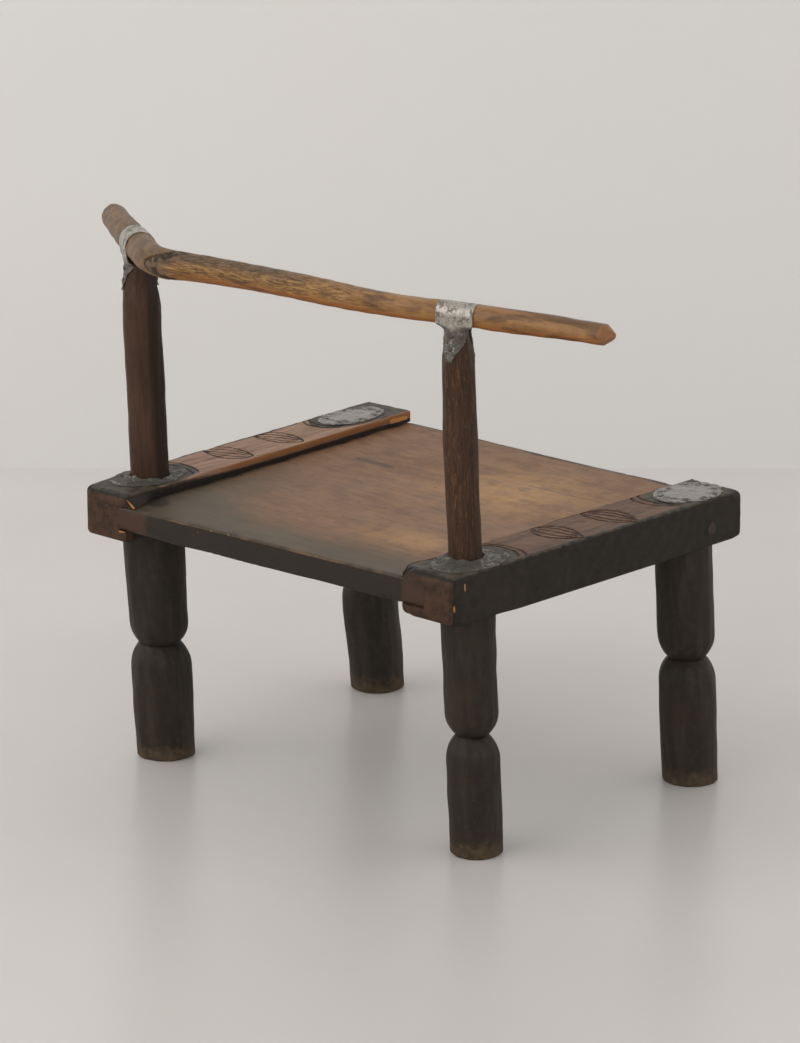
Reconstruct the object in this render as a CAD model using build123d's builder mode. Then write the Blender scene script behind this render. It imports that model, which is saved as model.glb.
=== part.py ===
from build123d import *
import os
from math import cos, radians, sin

# African birthing chair: a low plank seat caught between two grooved side rails, on four
# waisted legs. The two rear legs run on through the rails as posts, and a bent branch is
# strapped across their heads as the backrest. Tin plates are tacked over the leg joints.
#
# Frame: millimetres, +Z up, floor at z = 0. The chair faces -Y and the sitter's left is +X.
# The origin is the middle of the whole chair's box on the floor. Places on the seat are
# counted from the seat's own centre, which lies a little to one side of it.

# ---- Seat --------------------------------------------------------------------------------
seat_centre_x = 16.5
seat_centre_y = -1.3
seat_depth = 361.0
# Nothing is quite square. Each rail's outer corners lie this far out from the centre line, and
# the rails' and the board's ends this far past half the depth.
rail_out = {"rear_left": 204.7, "rear_right": 205.0, "front_left": 217.5, "front_right": 211.0}
rail_past = {"rear_left": 4.5, "rear_right": -4.0, "front_left": 2.0, "front_right": -0.2}
board_past = {"rear_left": 4.5, "rear_right": -7.5, "front_left": -2.2, "front_right": -2.2}
leg_height = 209.3           # floor to the underside of the rails
rail_width = 52.4
rail_height = 40.7
lower_lip = 9.9              # wood under the groove
board_thickness = 20.8
groove_depth = {"left": 8.4, "right": 22.0}
groove_play = 0.3
# The rails' upright corners, in plan: the outer ones, and the lips' beside the board.
outer_corner_round = {"rear_left": 9.0, "rear_right": 4.0, "front_left": 4.0, "front_right": 5.5}
lip_corner_round = {"rear_left": 3.0, "rear_right": 8.0, "front_left": 3.0, "front_right": 3.0}
rail_edge_round = 2.5
board_edge_round = 1.5

# ---- Legs --------------------------------------------------------------------------------
# Each leg is set back from the nearer end of its rail and shifted outwards from the rail's
# centre line, both taken under the rail. Its foot steps outwards and backwards from there.
leg_setback = {"rear_left": 60.0, "rear_right": 52.7, "front_left": 46.9, "front_right": 40.5}
leg_shift = {"rear_left": 0.4, "rear_right": -5.4, "front_left": -3.2, "front_right": -4.6}
foot_step_out = {"rear_left": 0.7, "rear_right": 2.0, "front_left": -13.9, "front_right": 13.0}
foot_step_back = {"rear_left": -12.3, "rear_right": -9.9, "front_left": -8.9, "front_right": -0.4}
leg_diameter = {"rear_left": 51.5, "rear_right": 44.0, "front_left": 50.1, "front_right": 48.4}
waist_diameter = {"rear_left": 35.0, "rear_right": 26.0, "front_left": 33.0, "front_right": 31.5}
waist_height = {"rear_left": 103.5, "rear_right": 102.0, "front_left": 104.0, "front_right": 108.0}
lower_shoulder = 26.0        # height over which the lower barrel rounds in to the waist
upper_shoulder = 24.0
foot_taper = 1.6             # lost in diameter down to the floor
head_taper = 1.4             # lost in diameter up to the rail
foot_edge_round = 2.0
tenon_diameter = 27.0
tenon_play = 0.2
peg_diameter = 11.0
peg_length = 28.0
peg_rise = 14.5              # above the rail's underside

# ---- Posts, which carry the rear legs on up to the back bar ------------------------------
post_diameter = {"left": 32.6, "right": 27.0}
post_taper = 1.2
post_collar = 4.0            # straight stretch of post above the rail
post_step_out = {"left": 0.3, "right": 2.0}     # of the post's head, from under the rail
post_step_back = {"left": 11.8, "right": 16.4}
neck_diameter = {"left": 23.0, "right": 18.6}
neck_length = 41.0           # from the bar's centre line down to where the neck starts
saddle_depth = 4.0
saddle_play = 0.2

# ---- Back bar: a branch that lies level and bends behind the left post --------------------
bar_height = 451.5           # centre line
bar_diameter = {"left": 25.0, "right": 18.6}    # where it is strapped
bar_overhang = {"left": 117.4, "right": 142.0}
bar_sweep = {"left": 33.5, "right": 11.7}       # degrees that each overhang turns forwards
bar_end_diameter = {"left": 22.4, "right": 17.4}
bar_end_round = {"left": 8.0, "right": 5.0}
# Between the posts: share of the way from left to right, bulge to the rear, diameter.
bar_bends = [(0.087, 20.1, 25.2), (0.155, 32.3, 25.4), (0.203, 32.7, 25.4), (0.25, 27.4, 23.6),
             (0.31, 24.0, 22.6), (0.42, 19.1, 22.2), (0.54, 16.6, 21.4), (0.66, 15.8, 20.7),
             (0.78, 14.6, 19.7), (0.884, 9.1, 19.2)]

# ---- Tin straps over the bar --------------------------------------------------------------
strap_width = 33.0
strap_thickness = 0.8
strap_play = 0.2
strap_tail = 29.5            # below the bar's underside, down the post
strap_tail_width = 17.0
strap_tip_width = 7.0

# ---- Tin plates over the leg joints -------------------------------------------------------
plate_width = 44.0
plate_length = 72.0
plate_thickness = 0.8
plate_play = 0.3             # round a post

# ---- Tacks and nails ----------------------------------------------------------------------
tack_head_diameter = 4.2
tack_head_height = 1.1
tack_shank_diameter = 1.4
tack_shank_length = 7.0
tack_inset = 4.5             # from the plate's rim
tack_fan = 30.0              # degrees from tack to tack at each end of a plate
tacks_per_end = 4
nail_spacing = 11.0          # down a strap's tail
nails_per_tail = 2

# ---- Worked out ---------------------------------------------------------------------------
rail_end = {corner: seat_depth / 2 + past for corner, past in rail_past.items()}
board_end = {corner: seat_depth / 2 + past for corner, past in board_past.items()}
seat_top = leg_height + rail_height
board_underside = leg_height + lower_lip
groove_height = board_thickness + groove_play
# From a rail's outer face to the end of the board's tongue.
board_reach = {side: rail_width - depth + groove_play for side, depth in groove_depth.items()}
beyond = 10.0                                           # how far a cut runs past the wood

seat = Plane(origin=(seat_centre_x, seat_centre_y, 0))
outward = {"left": 1, "right": -1}                      # sign of x
corners = list(leg_setback)

os.makedirs("parts", exist_ok=True)


def write(builder, name):
    """Label a finished piece and write it to its file."""
    builder.part.label = name
    export_step(builder.part, f"parts/{name}.step")


def side_of(corner):
    """The side, left or right, that a leg stands on."""
    return corner.split("_")[1]


def splay(side):
    """How far a rail's outer face runs outwards for each millimetre towards the front."""
    rear, front = f"rear_{side}", f"front_{side}"
    return (rail_out[front] - rail_out[rear]) / (rail_end[rear] + rail_end[front])


def half_width(side, y):
    """From the seat's centre line out to a rail's outer face at y."""
    return rail_out[f"rear_{side}"] + splay(side) * (rail_end[f"rear_{side}"] - y)


def strip(side, near, far, ends=rail_end):
    """Plan corners of the strip of seat between two distances in from a side's outer face."""
    rear, front = ends[f"rear_{side}"], -ends[f"front_{side}"]
    return [(outward[side] * (half_width(side, y) - inset), y)
            for y, inset in ((rear, near), (rear, far), (front, far), (front, near))]


def shoulder(corner):
    """The middle of a leg where it meets the underside of its rail."""
    side, end = side_of(corner), 1 if corner.startswith("rear") else -1
    y = end * (rail_end[corner] - leg_setback[corner])
    x = half_width(side, y) - rail_width / 2 + leg_shift[corner]
    return seat.from_local_coords(Vector(outward[side] * x, y, leg_height))


def foot(corner):
    """The middle of a leg on the floor."""
    step_out = outward[side_of(corner)] * foot_step_out[corner]
    return shoulder(corner) + Vector(step_out, foot_step_back[corner], -leg_height)


def head(side):
    """Where a post's axis meets the centre line of the back bar."""
    step_out = outward[side] * post_step_out[side]
    rise = bar_height - leg_height
    return shoulder(f"rear_{side}") + Vector(step_out, post_step_back[side], rise)


def joint_axis(corner):
    """Direction of what passes up through the rail: a rear post, or a front leg's tenon."""
    if corner.startswith("rear"):
        return (head(side_of(corner)) - shoulder(corner)).normalized()
    return (shoulder(corner) - foot(corner)).normalized()


def joint_diameter(corner):
    """Diameter of what passes up through the rail."""
    return post_diameter[side_of(corner)] if corner.startswith("rear") else tenon_diameter


def half_plane(centre, axis):
    """Plane through an axis, for a turned outline: local x is the radius, y runs up the axis."""
    across = Plane(origin=centre, z_dir=axis).x_dir
    return Plane(origin=centre, x_dir=across, z_dir=across.cross(axis))


def bore(start, direction, length, diameter):
    """Cut a round hole into the part that is being built."""
    with BuildSketch(Plane(origin=start, z_dir=direction)) as mouth:
        Circle(diameter / 2)
    extrude(mouth.sketch, amount=length, mode=Mode.SUBTRACT)


def bore_for_joint(corner, play):
    """Cut the hole for a post or a tenon, from below the rail to above it."""
    axis = joint_axis(corner)
    length = rail_height + 2 * beyond
    bore(shoulder(corner) - axis * beyond, axis, length, joint_diameter(corner) + 2 * play)


def peg_mouth(side):
    """Plane on the rail's outer face where a front leg's peg is driven in."""
    y = shoulder(f"front_{side}").Y - seat_centre_y
    face = Vector(outward[side] * half_width(side, y), y, leg_height + peg_rise)
    return Plane(origin=seat.from_local_coords(face), z_dir=Vector(outward[side], splay(side), 0))


def bore_for_peg(side):
    """Cut a peg's hole inwards from the rail's outer face."""
    mouth = peg_mouth(side)
    start = mouth.origin + mouth.z_dir * beyond
    bore(start, -mouth.z_dir, peg_length + beyond, peg_diameter)


def plate_plane(corner):
    """Plane of a tin plate: on the rail's top and centre line, over the joint."""
    y = (shoulder(corner) + joint_axis(corner) * rail_height).Y - seat_centre_y
    side = side_of(corner)
    x = outward[side] * (half_width(side, y) - rail_width / 2)
    return Plane(origin=seat.from_local_coords(Vector(x, y, seat_top)))


def tack_planes(corner):
    """Planes on a plate's top, one under each tack's head, fanned round the plate's two ends."""
    top = plate_plane(corner).offset(plate_thickness)
    planes = []
    for end in (90, 270):
        for number in range(tacks_per_end):
            angle = radians(end + (number - (tacks_per_end - 1) / 2) * tack_fan)
            place = Vector((plate_width / 2 - tack_inset) * cos(angle),
                           (plate_length / 2 - tack_inset) * sin(angle))
            planes.append(Plane(origin=top.from_local_coords(place)))
    return planes


def bar_heading(side):
    """Direction in which the bar runs out past a post."""
    angle = radians(bar_sweep[side])
    return Vector(outward[side] * cos(angle), -sin(angle), 0)


def strap_plane(side):
    """Plane square to the bar at a post's head: local y runs up the post, z out along the bar."""
    up = joint_axis(f"rear_{side}")
    return Plane(origin=head(side), x_dir=up.cross(bar_heading(side)), z_dir=bar_heading(side))


def tail_line(side):
    """Inner face of a strap's tail: (radius, height) beside the saddle and at the neck's foot."""
    bar, neck = bar_diameter[side] / 2, neck_diameter[side] / 2
    post = (post_diameter[side] - post_taper) / 2
    return (max(bar, neck) + strap_play, saddle_depth - bar), (post + strap_play, -neck_length)


def nail_planes(side):
    """Planes on the outside of a strap's two tails, one under each nail's head."""
    (top_radius, top), (low_radius, low) = tail_line(side)
    plane = strap_plane(side)
    planes = []
    for hand in (1, -1):
        normal = plane.x_dir * hand * (top - low) + plane.y_dir * (low_radius - top_radius)
        for number in range(nails_per_tail):
            height = -bar_diameter[side] / 2 - nail_spacing * (number + 0.5)
            radius = top_radius + (low_radius - top_radius) * (top - height) / (top - low)
            place = Vector(hand * (radius + strap_thickness), height)
            planes.append(Plane(origin=plane.from_local_coords(place), z_dir=normal))
    return planes


def bore_for_tacks(planes):
    """Cut the holes of some tacks or nails."""
    for plane in planes:
        bore(plane.origin, -plane.z_dir, tack_shank_length, tack_shank_diameter)


def tacks(planes):
    """Add a tack at each plane: a shank below it and a low domed head on it."""
    with Locations(*planes):
        Cylinder(tack_shank_diameter / 2, tack_shank_length,
                 align=(Align.CENTER, Align.CENTER, Align.MAX))
        Cone(tack_head_diameter / 2, tack_head_diameter / 4, tack_head_height,
             align=(Align.CENTER, Align.CENTER, Align.MIN))


def waisted_leg(corner):
    """Add a leg: two barrels that round in to a waist, flat under the rail and on the floor."""
    axis = (shoulder(corner) - foot(corner)).normalized()
    barrel, waist = leg_diameter[corner] / 2, waist_diameter[corner] / 2
    low, high = waist_height[corner] - lower_shoulder, waist_height[corner] + upper_shoulder
    with BuildSketch(half_plane(foot(corner), axis)) as half:
        with BuildLine():
            lower = EllipticalCenterArc((waist, low), barrel - waist, lower_shoulder, 0)
            upper = EllipticalCenterArc((waist, high), barrel - waist, upper_shoulder, 270)
            Polyline(upper @ 1, (barrel - head_taper / 2, leg_height + beyond),
                     (0, leg_height + beyond), (0, -beyond),
                     (barrel - foot_taper / 2, -beyond), lower @ 0)
        make_face()
    revolve(half.sketch, axis=Axis(foot(corner), axis))
    split(bisect_by=Plane.XY.offset(leg_height), keep=Keep.BOTTOM)
    split(bisect_by=Plane.XY, keep=Keep.TOP)


def post(side):
    """Add a post: straight through the rail, tapering above it, and necked under the bar."""
    start, axis = shoulder(f"rear_{side}"), joint_axis(f"rear_{side}")
    length = (head(side) - start).length
    radius, neck = post_diameter[side] / 2, neck_diameter[side] / 2
    top = length - bar_diameter[side] / 2 + saddle_depth
    with BuildSketch(half_plane(start, axis)) as half:
        with BuildLine():
            Polyline((0, -beyond), (radius, -beyond), (radius, rail_height + post_collar),
                     (radius - post_taper / 2, length - neck_length), (neck, top), (0, top),
                     close=True)
        make_face()
    revolve(half.sketch, axis=Axis(start, axis))


def round_foot(leg):
    """Round the edge of a leg's sole."""
    fillet(leg.faces().sort_by(Axis.Z)[0].edges(), foot_edge_round)


# ---- Seat board: tongued into both rails and notched round every joint ---------------------
with BuildPart() as seat_board:
    with BuildSketch(seat.offset(board_underside)):
        left_end, right_end = (strip(side, reach, reach, board_end)[1:3]
                               for side, reach in board_reach.items())
        Polygon(*left_end, *reversed(right_end), align=None)
    extrude(amount=board_thickness)
    front_to_rear = seat_board.edges().group_by(Axis.Z)[-1].sort_by(Axis.Y)
    fillet([front_to_rear[0], front_to_rear[-1]], board_edge_round)
    for corner in corners:
        bore_for_joint(corner, tenon_play)
    for side in outward:
        bore_for_peg(side)
write(seat_board, "seat_board")

# ---- Side rails: grooved for the board, with rounded corners and top edges ------------------
for side in outward:
    with BuildPart() as side_rail:
        with BuildSketch(seat.offset(leg_height)) as plan:
            Polygon(*strip(side, 0, rail_width), align=None)
            rounds = [outer_corner_round[f"rear_{side}"], lip_corner_round[f"rear_{side}"],
                      lip_corner_round[f"front_{side}"], outer_corner_round[f"front_{side}"]]
            for place, corner_round in zip(strip(side, 0, rail_width), rounds):
                fillet(plan.vertices().sort_by_distance(place)[0], corner_round)
        extrude(amount=rail_height)
        fillet(side_rail.faces().sort_by(Axis.Z)[-1].edges(), rail_edge_round)
        with BuildSketch(seat.offset(board_underside)):
            Polygon(*strip(side, rail_width - groove_depth[side], rail_width + beyond), align=None)
        extrude(amount=groove_height, mode=Mode.SUBTRACT)
        for end in ("rear", "front"):
            bore_for_joint(f"{end}_{side}", tenon_play)
            bore_for_tacks(tack_planes(f"{end}_{side}"))
        bore_for_peg(side)
    write(side_rail, f"side_rail_{side}")

# ---- Rear stiles: each leg and its post are carved from one stick ----------------------------
for side in outward:
    with BuildPart() as rear_stile:
        waisted_leg(f"rear_{side}")
        round_foot(rear_stile)
        post(side)
        saddle = bar_heading(side) * leg_diameter[f"rear_{side}"]
        bore(head(side) - saddle, saddle, 2 * saddle.length, bar_diameter[side] + 2 * saddle_play)
        bore_for_tacks(nail_planes(side))
    write(rear_stile, f"rear_stile_{side}")

# ---- Front legs: tenoned through the rails ---------------------------------------------------
for side in outward:
    corner = f"front_{side}"
    with BuildPart() as front_leg:
        waisted_leg(corner)
        round_foot(front_leg)
        axis = joint_axis(corner)
        with BuildSketch(Plane(origin=shoulder(corner) - axis * beyond, z_dir=axis)):
            Circle(tenon_diameter / 2)
        extrude(amount=rail_height + 2 * beyond)
        split(bisect_by=Plane.XY.offset(seat_top), keep=Keep.BOTTOM)
        bore_for_peg(side)
    write(front_leg, f"front_leg_{side}")

# ---- Pegs: driven through the rails' outer faces into the front legs' tenons -----------------
for side in outward:
    with BuildPart() as leg_peg:
        with BuildSketch(peg_mouth(side)):
            Circle(peg_diameter / 2)
        extrude(amount=-peg_length)
    write(leg_peg, f"leg_peg_{side}")

# ---- Back bar: round sections lofted from the left end to the right ---------------------------
straight = strap_width / 2
sections = []                # point on the centre line, diameter
for side in outward:
    overhang = [(bar_overhang[side], bar_end_diameter[side]), (straight, bar_diameter[side]),
                (-straight, bar_diameter[side])]
    run = [(head(side) + bar_heading(side) * reach, diameter) for reach, diameter in overhang]
    if side == "left":
        span = head("right") - head("left")
        bends = [(head("left") + span * share + Vector(0, bulge, 0), diameter)
                 for share, bulge, diameter in bar_bends]
        sections = run + bends
    else:
        sections += reversed(run)

with BuildPart() as back_bar:
    last = len(sections) - 1
    for number, (point, diameter) in enumerate(sections):
        before, after = sections[max(number - 1, 0)][0], sections[min(number + 1, last)][0]
        with BuildSketch(Plane(origin=point, x_dir=(0, 0, 1), z_dir=after - before)):
            Circle(diameter / 2)
    loft(ruled=True)
    for side, end in (("left", -1), ("right", 0)):
        face = back_bar.faces().filter_by(GeomType.PLANE).sort_by(Axis.X)[end]
        fillet(face.edges(), bar_end_round[side])
write(back_bar, "back_bar")

# ---- Straps: a band over the bar, with a tail nailed down each side of the post ---------------
for side in outward:
    bar = bar_diameter[side] / 2
    (top_radius, top), (low_radius, low) = tail_line(side)
    tip = -bar - strap_tail
    plane = strap_plane(side)
    with BuildPart() as strap:
        with BuildSketch(plane):
            for skin, bottom, mode in ((strap_thickness, tip, Mode.ADD),
                                       (0, tip - beyond, Mode.SUBTRACT)):
                spread = (low_radius - top_radius) * (top - bottom) / (top - low)
                flank = [(bar + strap_play + skin, 0), (top_radius + skin, top),
                         (top_radius + skin + spread, bottom)]
                Circle(bar + strap_play + skin, mode=mode)
                Polygon(*flank, *[(-x, y) for x, y in reversed(flank)], align=None, mode=mode)
        extrude(amount=strap_width / 2, both=True)
        with BuildSketch(Plane(origin=plane.origin, x_dir=plane.z_dir, z_dir=-plane.x_dir)):
            edge = [(strap_width / 2, strap_width), (strap_width / 2, -bar),
                    (strap_tail_width / 2, -bar), (strap_tip_width / 2, tip)]
            Polygon(*edge, *[(-x, y) for x, y in reversed(edge)], align=None)
        extrude(amount=post_diameter[side] + beyond, both=True, mode=Mode.INTERSECT)
        bore_for_tacks(nail_planes(side))
    write(strap, f"strap_{side}")
    with BuildPart() as strap_nails:
        tacks(nail_planes(side))
    write(strap_nails, f"strap_nails_{side}")

# ---- Corner plates and their tacks -------------------------------------------------------------
for corner in corners:
    with BuildPart() as corner_plate:
        with BuildSketch(plate_plane(corner)):
            Ellipse(plate_width / 2, plate_length / 2)
        extrude(amount=plate_thickness)
        if corner.startswith("rear"):
            bore_for_joint(corner, plate_play)
        bore_for_tacks(tack_planes(corner))
    write(corner_plate, f"corner_plate_{corner}")
    with BuildPart() as plate_tacks:
        tacks(tack_planes(corner))
    write(plate_tacks, f"plate_tacks_{corner}")
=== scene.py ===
"""African birthing chair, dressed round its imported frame.

Sizes are in millimetres and places are counted from the middle of the seat on the floor, with
+X to the sitter's left and +Y to the rear. They become metres in the row's frame when a piece is
made. Each surface is worked out with numpy, and each finish is a node tree that reads the piece's
own attributes: ``flow``, the place in the straightened wood with the grain along its z, and masks
from 0 to 1 such as ``soot`` or ``bare``.
"""

import logging
from dataclasses import dataclass, field, replace
from enum import Enum
from functools import reduce
from math import cos, pi, radians, sin

import bmesh
import bpy
import numpy as np
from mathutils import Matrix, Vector


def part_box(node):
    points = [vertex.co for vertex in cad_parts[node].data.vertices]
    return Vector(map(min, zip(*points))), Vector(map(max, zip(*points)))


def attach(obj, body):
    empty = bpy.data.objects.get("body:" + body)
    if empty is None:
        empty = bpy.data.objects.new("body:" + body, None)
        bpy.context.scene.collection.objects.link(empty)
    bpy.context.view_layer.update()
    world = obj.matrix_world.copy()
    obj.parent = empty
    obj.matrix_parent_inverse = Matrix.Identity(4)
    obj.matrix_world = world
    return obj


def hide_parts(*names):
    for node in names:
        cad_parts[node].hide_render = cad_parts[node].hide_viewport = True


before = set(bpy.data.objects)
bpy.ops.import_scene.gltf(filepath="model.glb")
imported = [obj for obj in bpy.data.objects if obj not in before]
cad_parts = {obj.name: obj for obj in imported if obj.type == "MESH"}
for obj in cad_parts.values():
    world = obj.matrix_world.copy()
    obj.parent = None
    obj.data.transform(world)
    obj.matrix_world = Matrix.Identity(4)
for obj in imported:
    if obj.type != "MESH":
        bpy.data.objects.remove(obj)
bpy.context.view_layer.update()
log = logging.getLogger("birthing_chair")

Array = np.ndarray
Colour = tuple[float, float, float, float]
Point = tuple[float, float, float]
Plan = tuple[float, float]
Finish = bpy.types.Material

MM = 0.001
TINY = 1e-9
FAR = 1e6
BAR_HEIGHT = 451.5
OUTWARD = {"left": 1.0, "right": -1.0}


class Slot(Enum):
    """The record's material slots."""

    SEAT = "seat_wood"
    RAIL = "rail_wood"
    LEG = "leg_wood"
    PEG = "peg_wood"
    BAR = "bar_wood"
    TIN = "tin_sheet"
    IRON = "nail_iron"


# ---- Numbers ----


def swatch(red: float, green: float, blue: float) -> Colour:
    """Linear colour of a swatch given as display values from 0 to 255.

    Formula: each channel is ((c + 0.055) / 1.055) to the power 2.4, or c / 12.92 when dark.
    """
    shares = [channel / 255 for channel in (red, green, blue)]
    linear = [s / 12.92 if s < 0.04045 else ((s + 0.055) / 1.055) ** 2.4 for s in shares]
    return (*linear, 1.0)


def step(values: Array, low: float, high: float) -> Array:
    """Smooth step from 0 at low to 1 at high, which may lie below low.

    Formula: t * t * (3 - 2 t), where t is the clipped share of the way from low to high.
    """
    share = np.clip((values - low) / (high - low), 0.0, 1.0)
    return share * share * (3 - 2 * share)


def turns(count: int) -> Array:
    """Angles of equal steps round a circle."""
    return np.linspace(0, 2 * pi, count, endpoint=False)


def gap_to(points: Array, place: Plan | Array) -> Array:
    """Distance in plan from each point to a place."""
    return np.linalg.norm(points[:, :2] - np.array(place), axis=1)


def travelled(path: Array) -> Array:
    """Distance travelled along a path of straight runs, at each of its points."""
    lengths = np.linalg.norm(np.diff(path, axis=0), axis=1)
    return np.concatenate([[0.0], np.cumsum(lengths)])


def most(*fields: Array) -> Array:
    """The largest of several fields at each point."""
    return reduce(np.maximum, fields)


def ripple(points: Array, wavelength: float, seed: int, stretch: Point = (1, 1, 1)) -> Array:
    """Smooth random field of about unit spread.

    Formula: the sum of cosines of seeded wave vectors, whose lengths lie round one turn per
    wavelength, divided by the spread of such a sum.

    Args:
        points: places, in millimetres.
        wavelength: usual distance from crest to crest.
        seed: number that fixes the field.
        stretch: how many times longer the waves are along x, y and z.

    Returns:
        One value per point.
    """
    count = 20
    rng = np.random.default_rng(seed)
    waves = rng.normal(size=(count, 3))
    waves /= np.linalg.norm(waves, axis=1, keepdims=True)
    waves *= 2 * pi / wavelength * rng.uniform(0.6, 1.5, (count, 1))
    phases = rng.uniform(0, 2 * pi, count)
    return np.cos((points / np.array(stretch)) @ waves.T + phases).sum(axis=1) / (count / 2) ** 0.5


def wave(angles: Array, seed: int, lobes: tuple[int, int]) -> Array:
    """Smooth random outline round a circle, of about unit spread.

    Formula: the sum of cosines of whole multiples of the angle, with seeded phases and with
    weights that fall as the multiple grows.
    """
    orders = np.arange(*lobes)
    rng = np.random.default_rng(seed)
    phases = rng.uniform(0, 2 * pi, len(orders))
    weights = rng.uniform(0.5, 1.0, len(orders)) / np.sqrt(orders)
    total = (weights * np.cos(angles[..., None] * orders + phases)).sum(axis=-1)
    return total / np.sqrt((weights**2).sum() / 2)


def capsule(points: Array, start: Array, end: Array) -> Array:
    """Distance from each point to the straight line between two places, in 2-D or 3-D.

    Formula: the length of the offset from the nearest place on the line, whose share of the way
    is the clipped projection of the point on it.
    """
    along = end - start
    share = np.clip((points - start) @ along / max(along @ along, TINY), 0.0, 1.0)
    return np.linalg.norm(points - start - share[:, None] * along, axis=1)


def path_distance(points: Array, path: Array) -> Array:
    """Distance from each point to a path of straight runs: the least over the runs."""
    runs = [capsule(points, start, end) for start, end in zip(path[:-1], path[1:])]
    return np.min(runs, axis=0)


def facet(angles: Array, sides: int, turn: float) -> Array:
    """Radius of a regular polygon round a circle of radius 1, drawn to the same mean size.

    Formula: cos(pi / n) / cos(a), where a is the angle from the middle of the nearest side.
    """
    half = pi / sides
    across = np.mod(angles - turn, 2 * half) - half
    return cos(half) / np.cos(across) / cos(half * 0.58)


def smooth_path(knots: Array, count: int) -> Array:
    """Curve through knots, one column per coordinate, at evenly spaced shares of its length.

    Formula: a Catmull-Rom cubic between each pair of knots, whose slopes are half the step from
    the knot before to the knot after, read again at equal steps of length.
    """
    padded = np.vstack([2 * knots[0] - knots[1], knots, 2 * knots[-1] - knots[-2]])
    t = np.linspace(0, 1, 24, endpoint=False)[:, None]
    before, here, there, after = (padded[i : len(padded) - 3 + i, None] for i in range(4))
    curve = here + 0.5 * t * (
        there - before + t * (2 * before - 5 * here + 4 * there - after)
        + t * t * (3 * (here - there) + after - before)
    )
    curve = np.vstack([curve.reshape(-1, knots.shape[1]), knots[-1:]])
    along = travelled(curve[:, :3])
    wanted = np.linspace(0, along[-1], count)
    return np.stack([np.interp(wanted, along, column) for column in curve.T], axis=1)


def samples(*spans: tuple[float, float]) -> Array:
    """Rising sample places: each span is its end and the step used to reach it.

    Args:
        spans: the first is the start with any step, the others end each stretch.

    Returns:
        All the places, with both ends of each stretch among them.
    """
    places = [np.array([spans[0][0]])]
    for (start, _), (end, pitch) in zip(spans[:-1], spans[1:]):
        count = max(1, round(abs(end - start) / pitch))
        places.append(np.linspace(start, end, count + 1)[1:])
    return np.concatenate(places)


# ---- Meshes ----


def grid_faces(rows: int, columns: int, ring: bool = False) -> Array:
    """Quads of a grid of points in row order, joined round its columns if ring is true."""
    i, j = np.meshgrid(
        np.arange(rows - 1), np.arange(columns if ring else columns - 1), indexing="ij"
    )
    right = (j + 1) % columns
    corners = [i * columns + j, i * columns + right, (i + 1) * columns + right,
               (i + 1) * columns + j]
    return np.stack(corners, axis=-1).reshape(-1, 4)


@dataclass
class Surface:
    """Skin of a piece before it becomes a mesh.

    Attributes:
        points: places in millimetres from the middle of the seat.
        faces: quads as point numbers.
        flow: each point's place in the straightened wood, grain along z.
        masks: one value per point under each mask's name.
    """

    points: Array
    faces: Array
    flow: Array | None = None
    masks: dict[str, Array] = field(default_factory=dict)

    def weld(self) -> "Surface":
        """Join points that share a place, so that seams and poles close."""
        keys = np.round(self.points, 4)
        _, first, number = np.unique(keys, axis=0, return_index=True, return_inverse=True)
        number = number.reshape(-1)
        self.points = self.points[first]
        self.faces = number[self.faces]
        self.flow = None if self.flow is None else self.flow[first]
        self.masks = {name: values[first] for name, values in self.masks.items()}
        return self

    def joined(self, other: "Surface") -> "Surface":
        """This surface and another as one, with every mask of both."""
        both = (self, other)
        names = set(self.masks) | set(other.masks)
        masks = {
            name: np.concatenate([s.masks.get(name, np.zeros(len(s.points))) for s in both])
            for name in sorted(names)
        }
        faces = np.vstack([self.faces, other.faces + len(self.points)])
        flow = np.vstack([s.points if s.flow is None else s.flow for s in both])
        return Surface(np.vstack([s.points for s in both]), faces, flow, masks)

    def loops(self) -> list[list[int]]:
        """Faces as lists of point numbers: a quad with two equal corners is a triangle."""
        repeats = self.faces == np.roll(self.faces, -1, axis=1)
        whole = self.faces[~repeats.any(axis=1)].tolist()
        folded = self.faces[repeats.sum(axis=1) == 1]
        kept = ~repeats[repeats.sum(axis=1) == 1]
        return whole + folded[kept].reshape(-1, 3).tolist()


def box_skin(xs: Array, ys: Array, zs: Array) -> Surface:
    """Skin of a box as six grids over its sample places, welded along its edges."""
    skin = None
    lists = (xs, ys, zs)
    for axis in range(3):
        one, two = [n for n in range(3) if n != axis]
        first, second = np.meshgrid(lists[one], lists[two], indexing="ij")
        for end in (0, -1):
            points = np.empty((first.size, 3))
            points[:, one], points[:, two] = first.ravel(), second.ravel()
            points[:, axis] = lists[axis][end]
            side = Surface(points, grid_faces(*first.shape))
            skin = side if skin is None else skin.joined(side)
    skin.flow = None
    return skin.weld()


def tube_skin(centres: Array, radii: Array, sides: Array | Point,
              ups: Array | Point) -> Surface:
    """Profile carried along a path, closed at both ends by poles.

    Formula: point (i, j) = centre i + radius (i, j) * (cos a side i + sin a up i), where a is
    j equal steps round the circle.

    Args:
        centres: one place per ring.
        radii: one row per ring, one column per step round it; end rows of 0 make poles.
        sides: unit vector towards angle 0, or one per ring.
        ups: unit vector towards a quarter turn, or one per ring.

    Returns:
        The surface, with its flow along the path. It isn't welded yet.
    """
    angles = turns(radii.shape[1])
    across, high = radii * np.cos(angles), radii * np.sin(angles)
    sides, ups = (np.broadcast_to(way, centres.shape)[:, None] for way in (sides, ups))
    points = centres[:, None] + across[..., None] * sides + high[..., None] * ups
    along = np.repeat(travelled(centres)[:, None], len(angles), axis=1)
    flow = np.stack([across, high, along], axis=-1)
    faces = grid_faces(*radii.shape, ring=True)
    return Surface(points.reshape(-1, 3), faces, flow.reshape(-1, 3))


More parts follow.
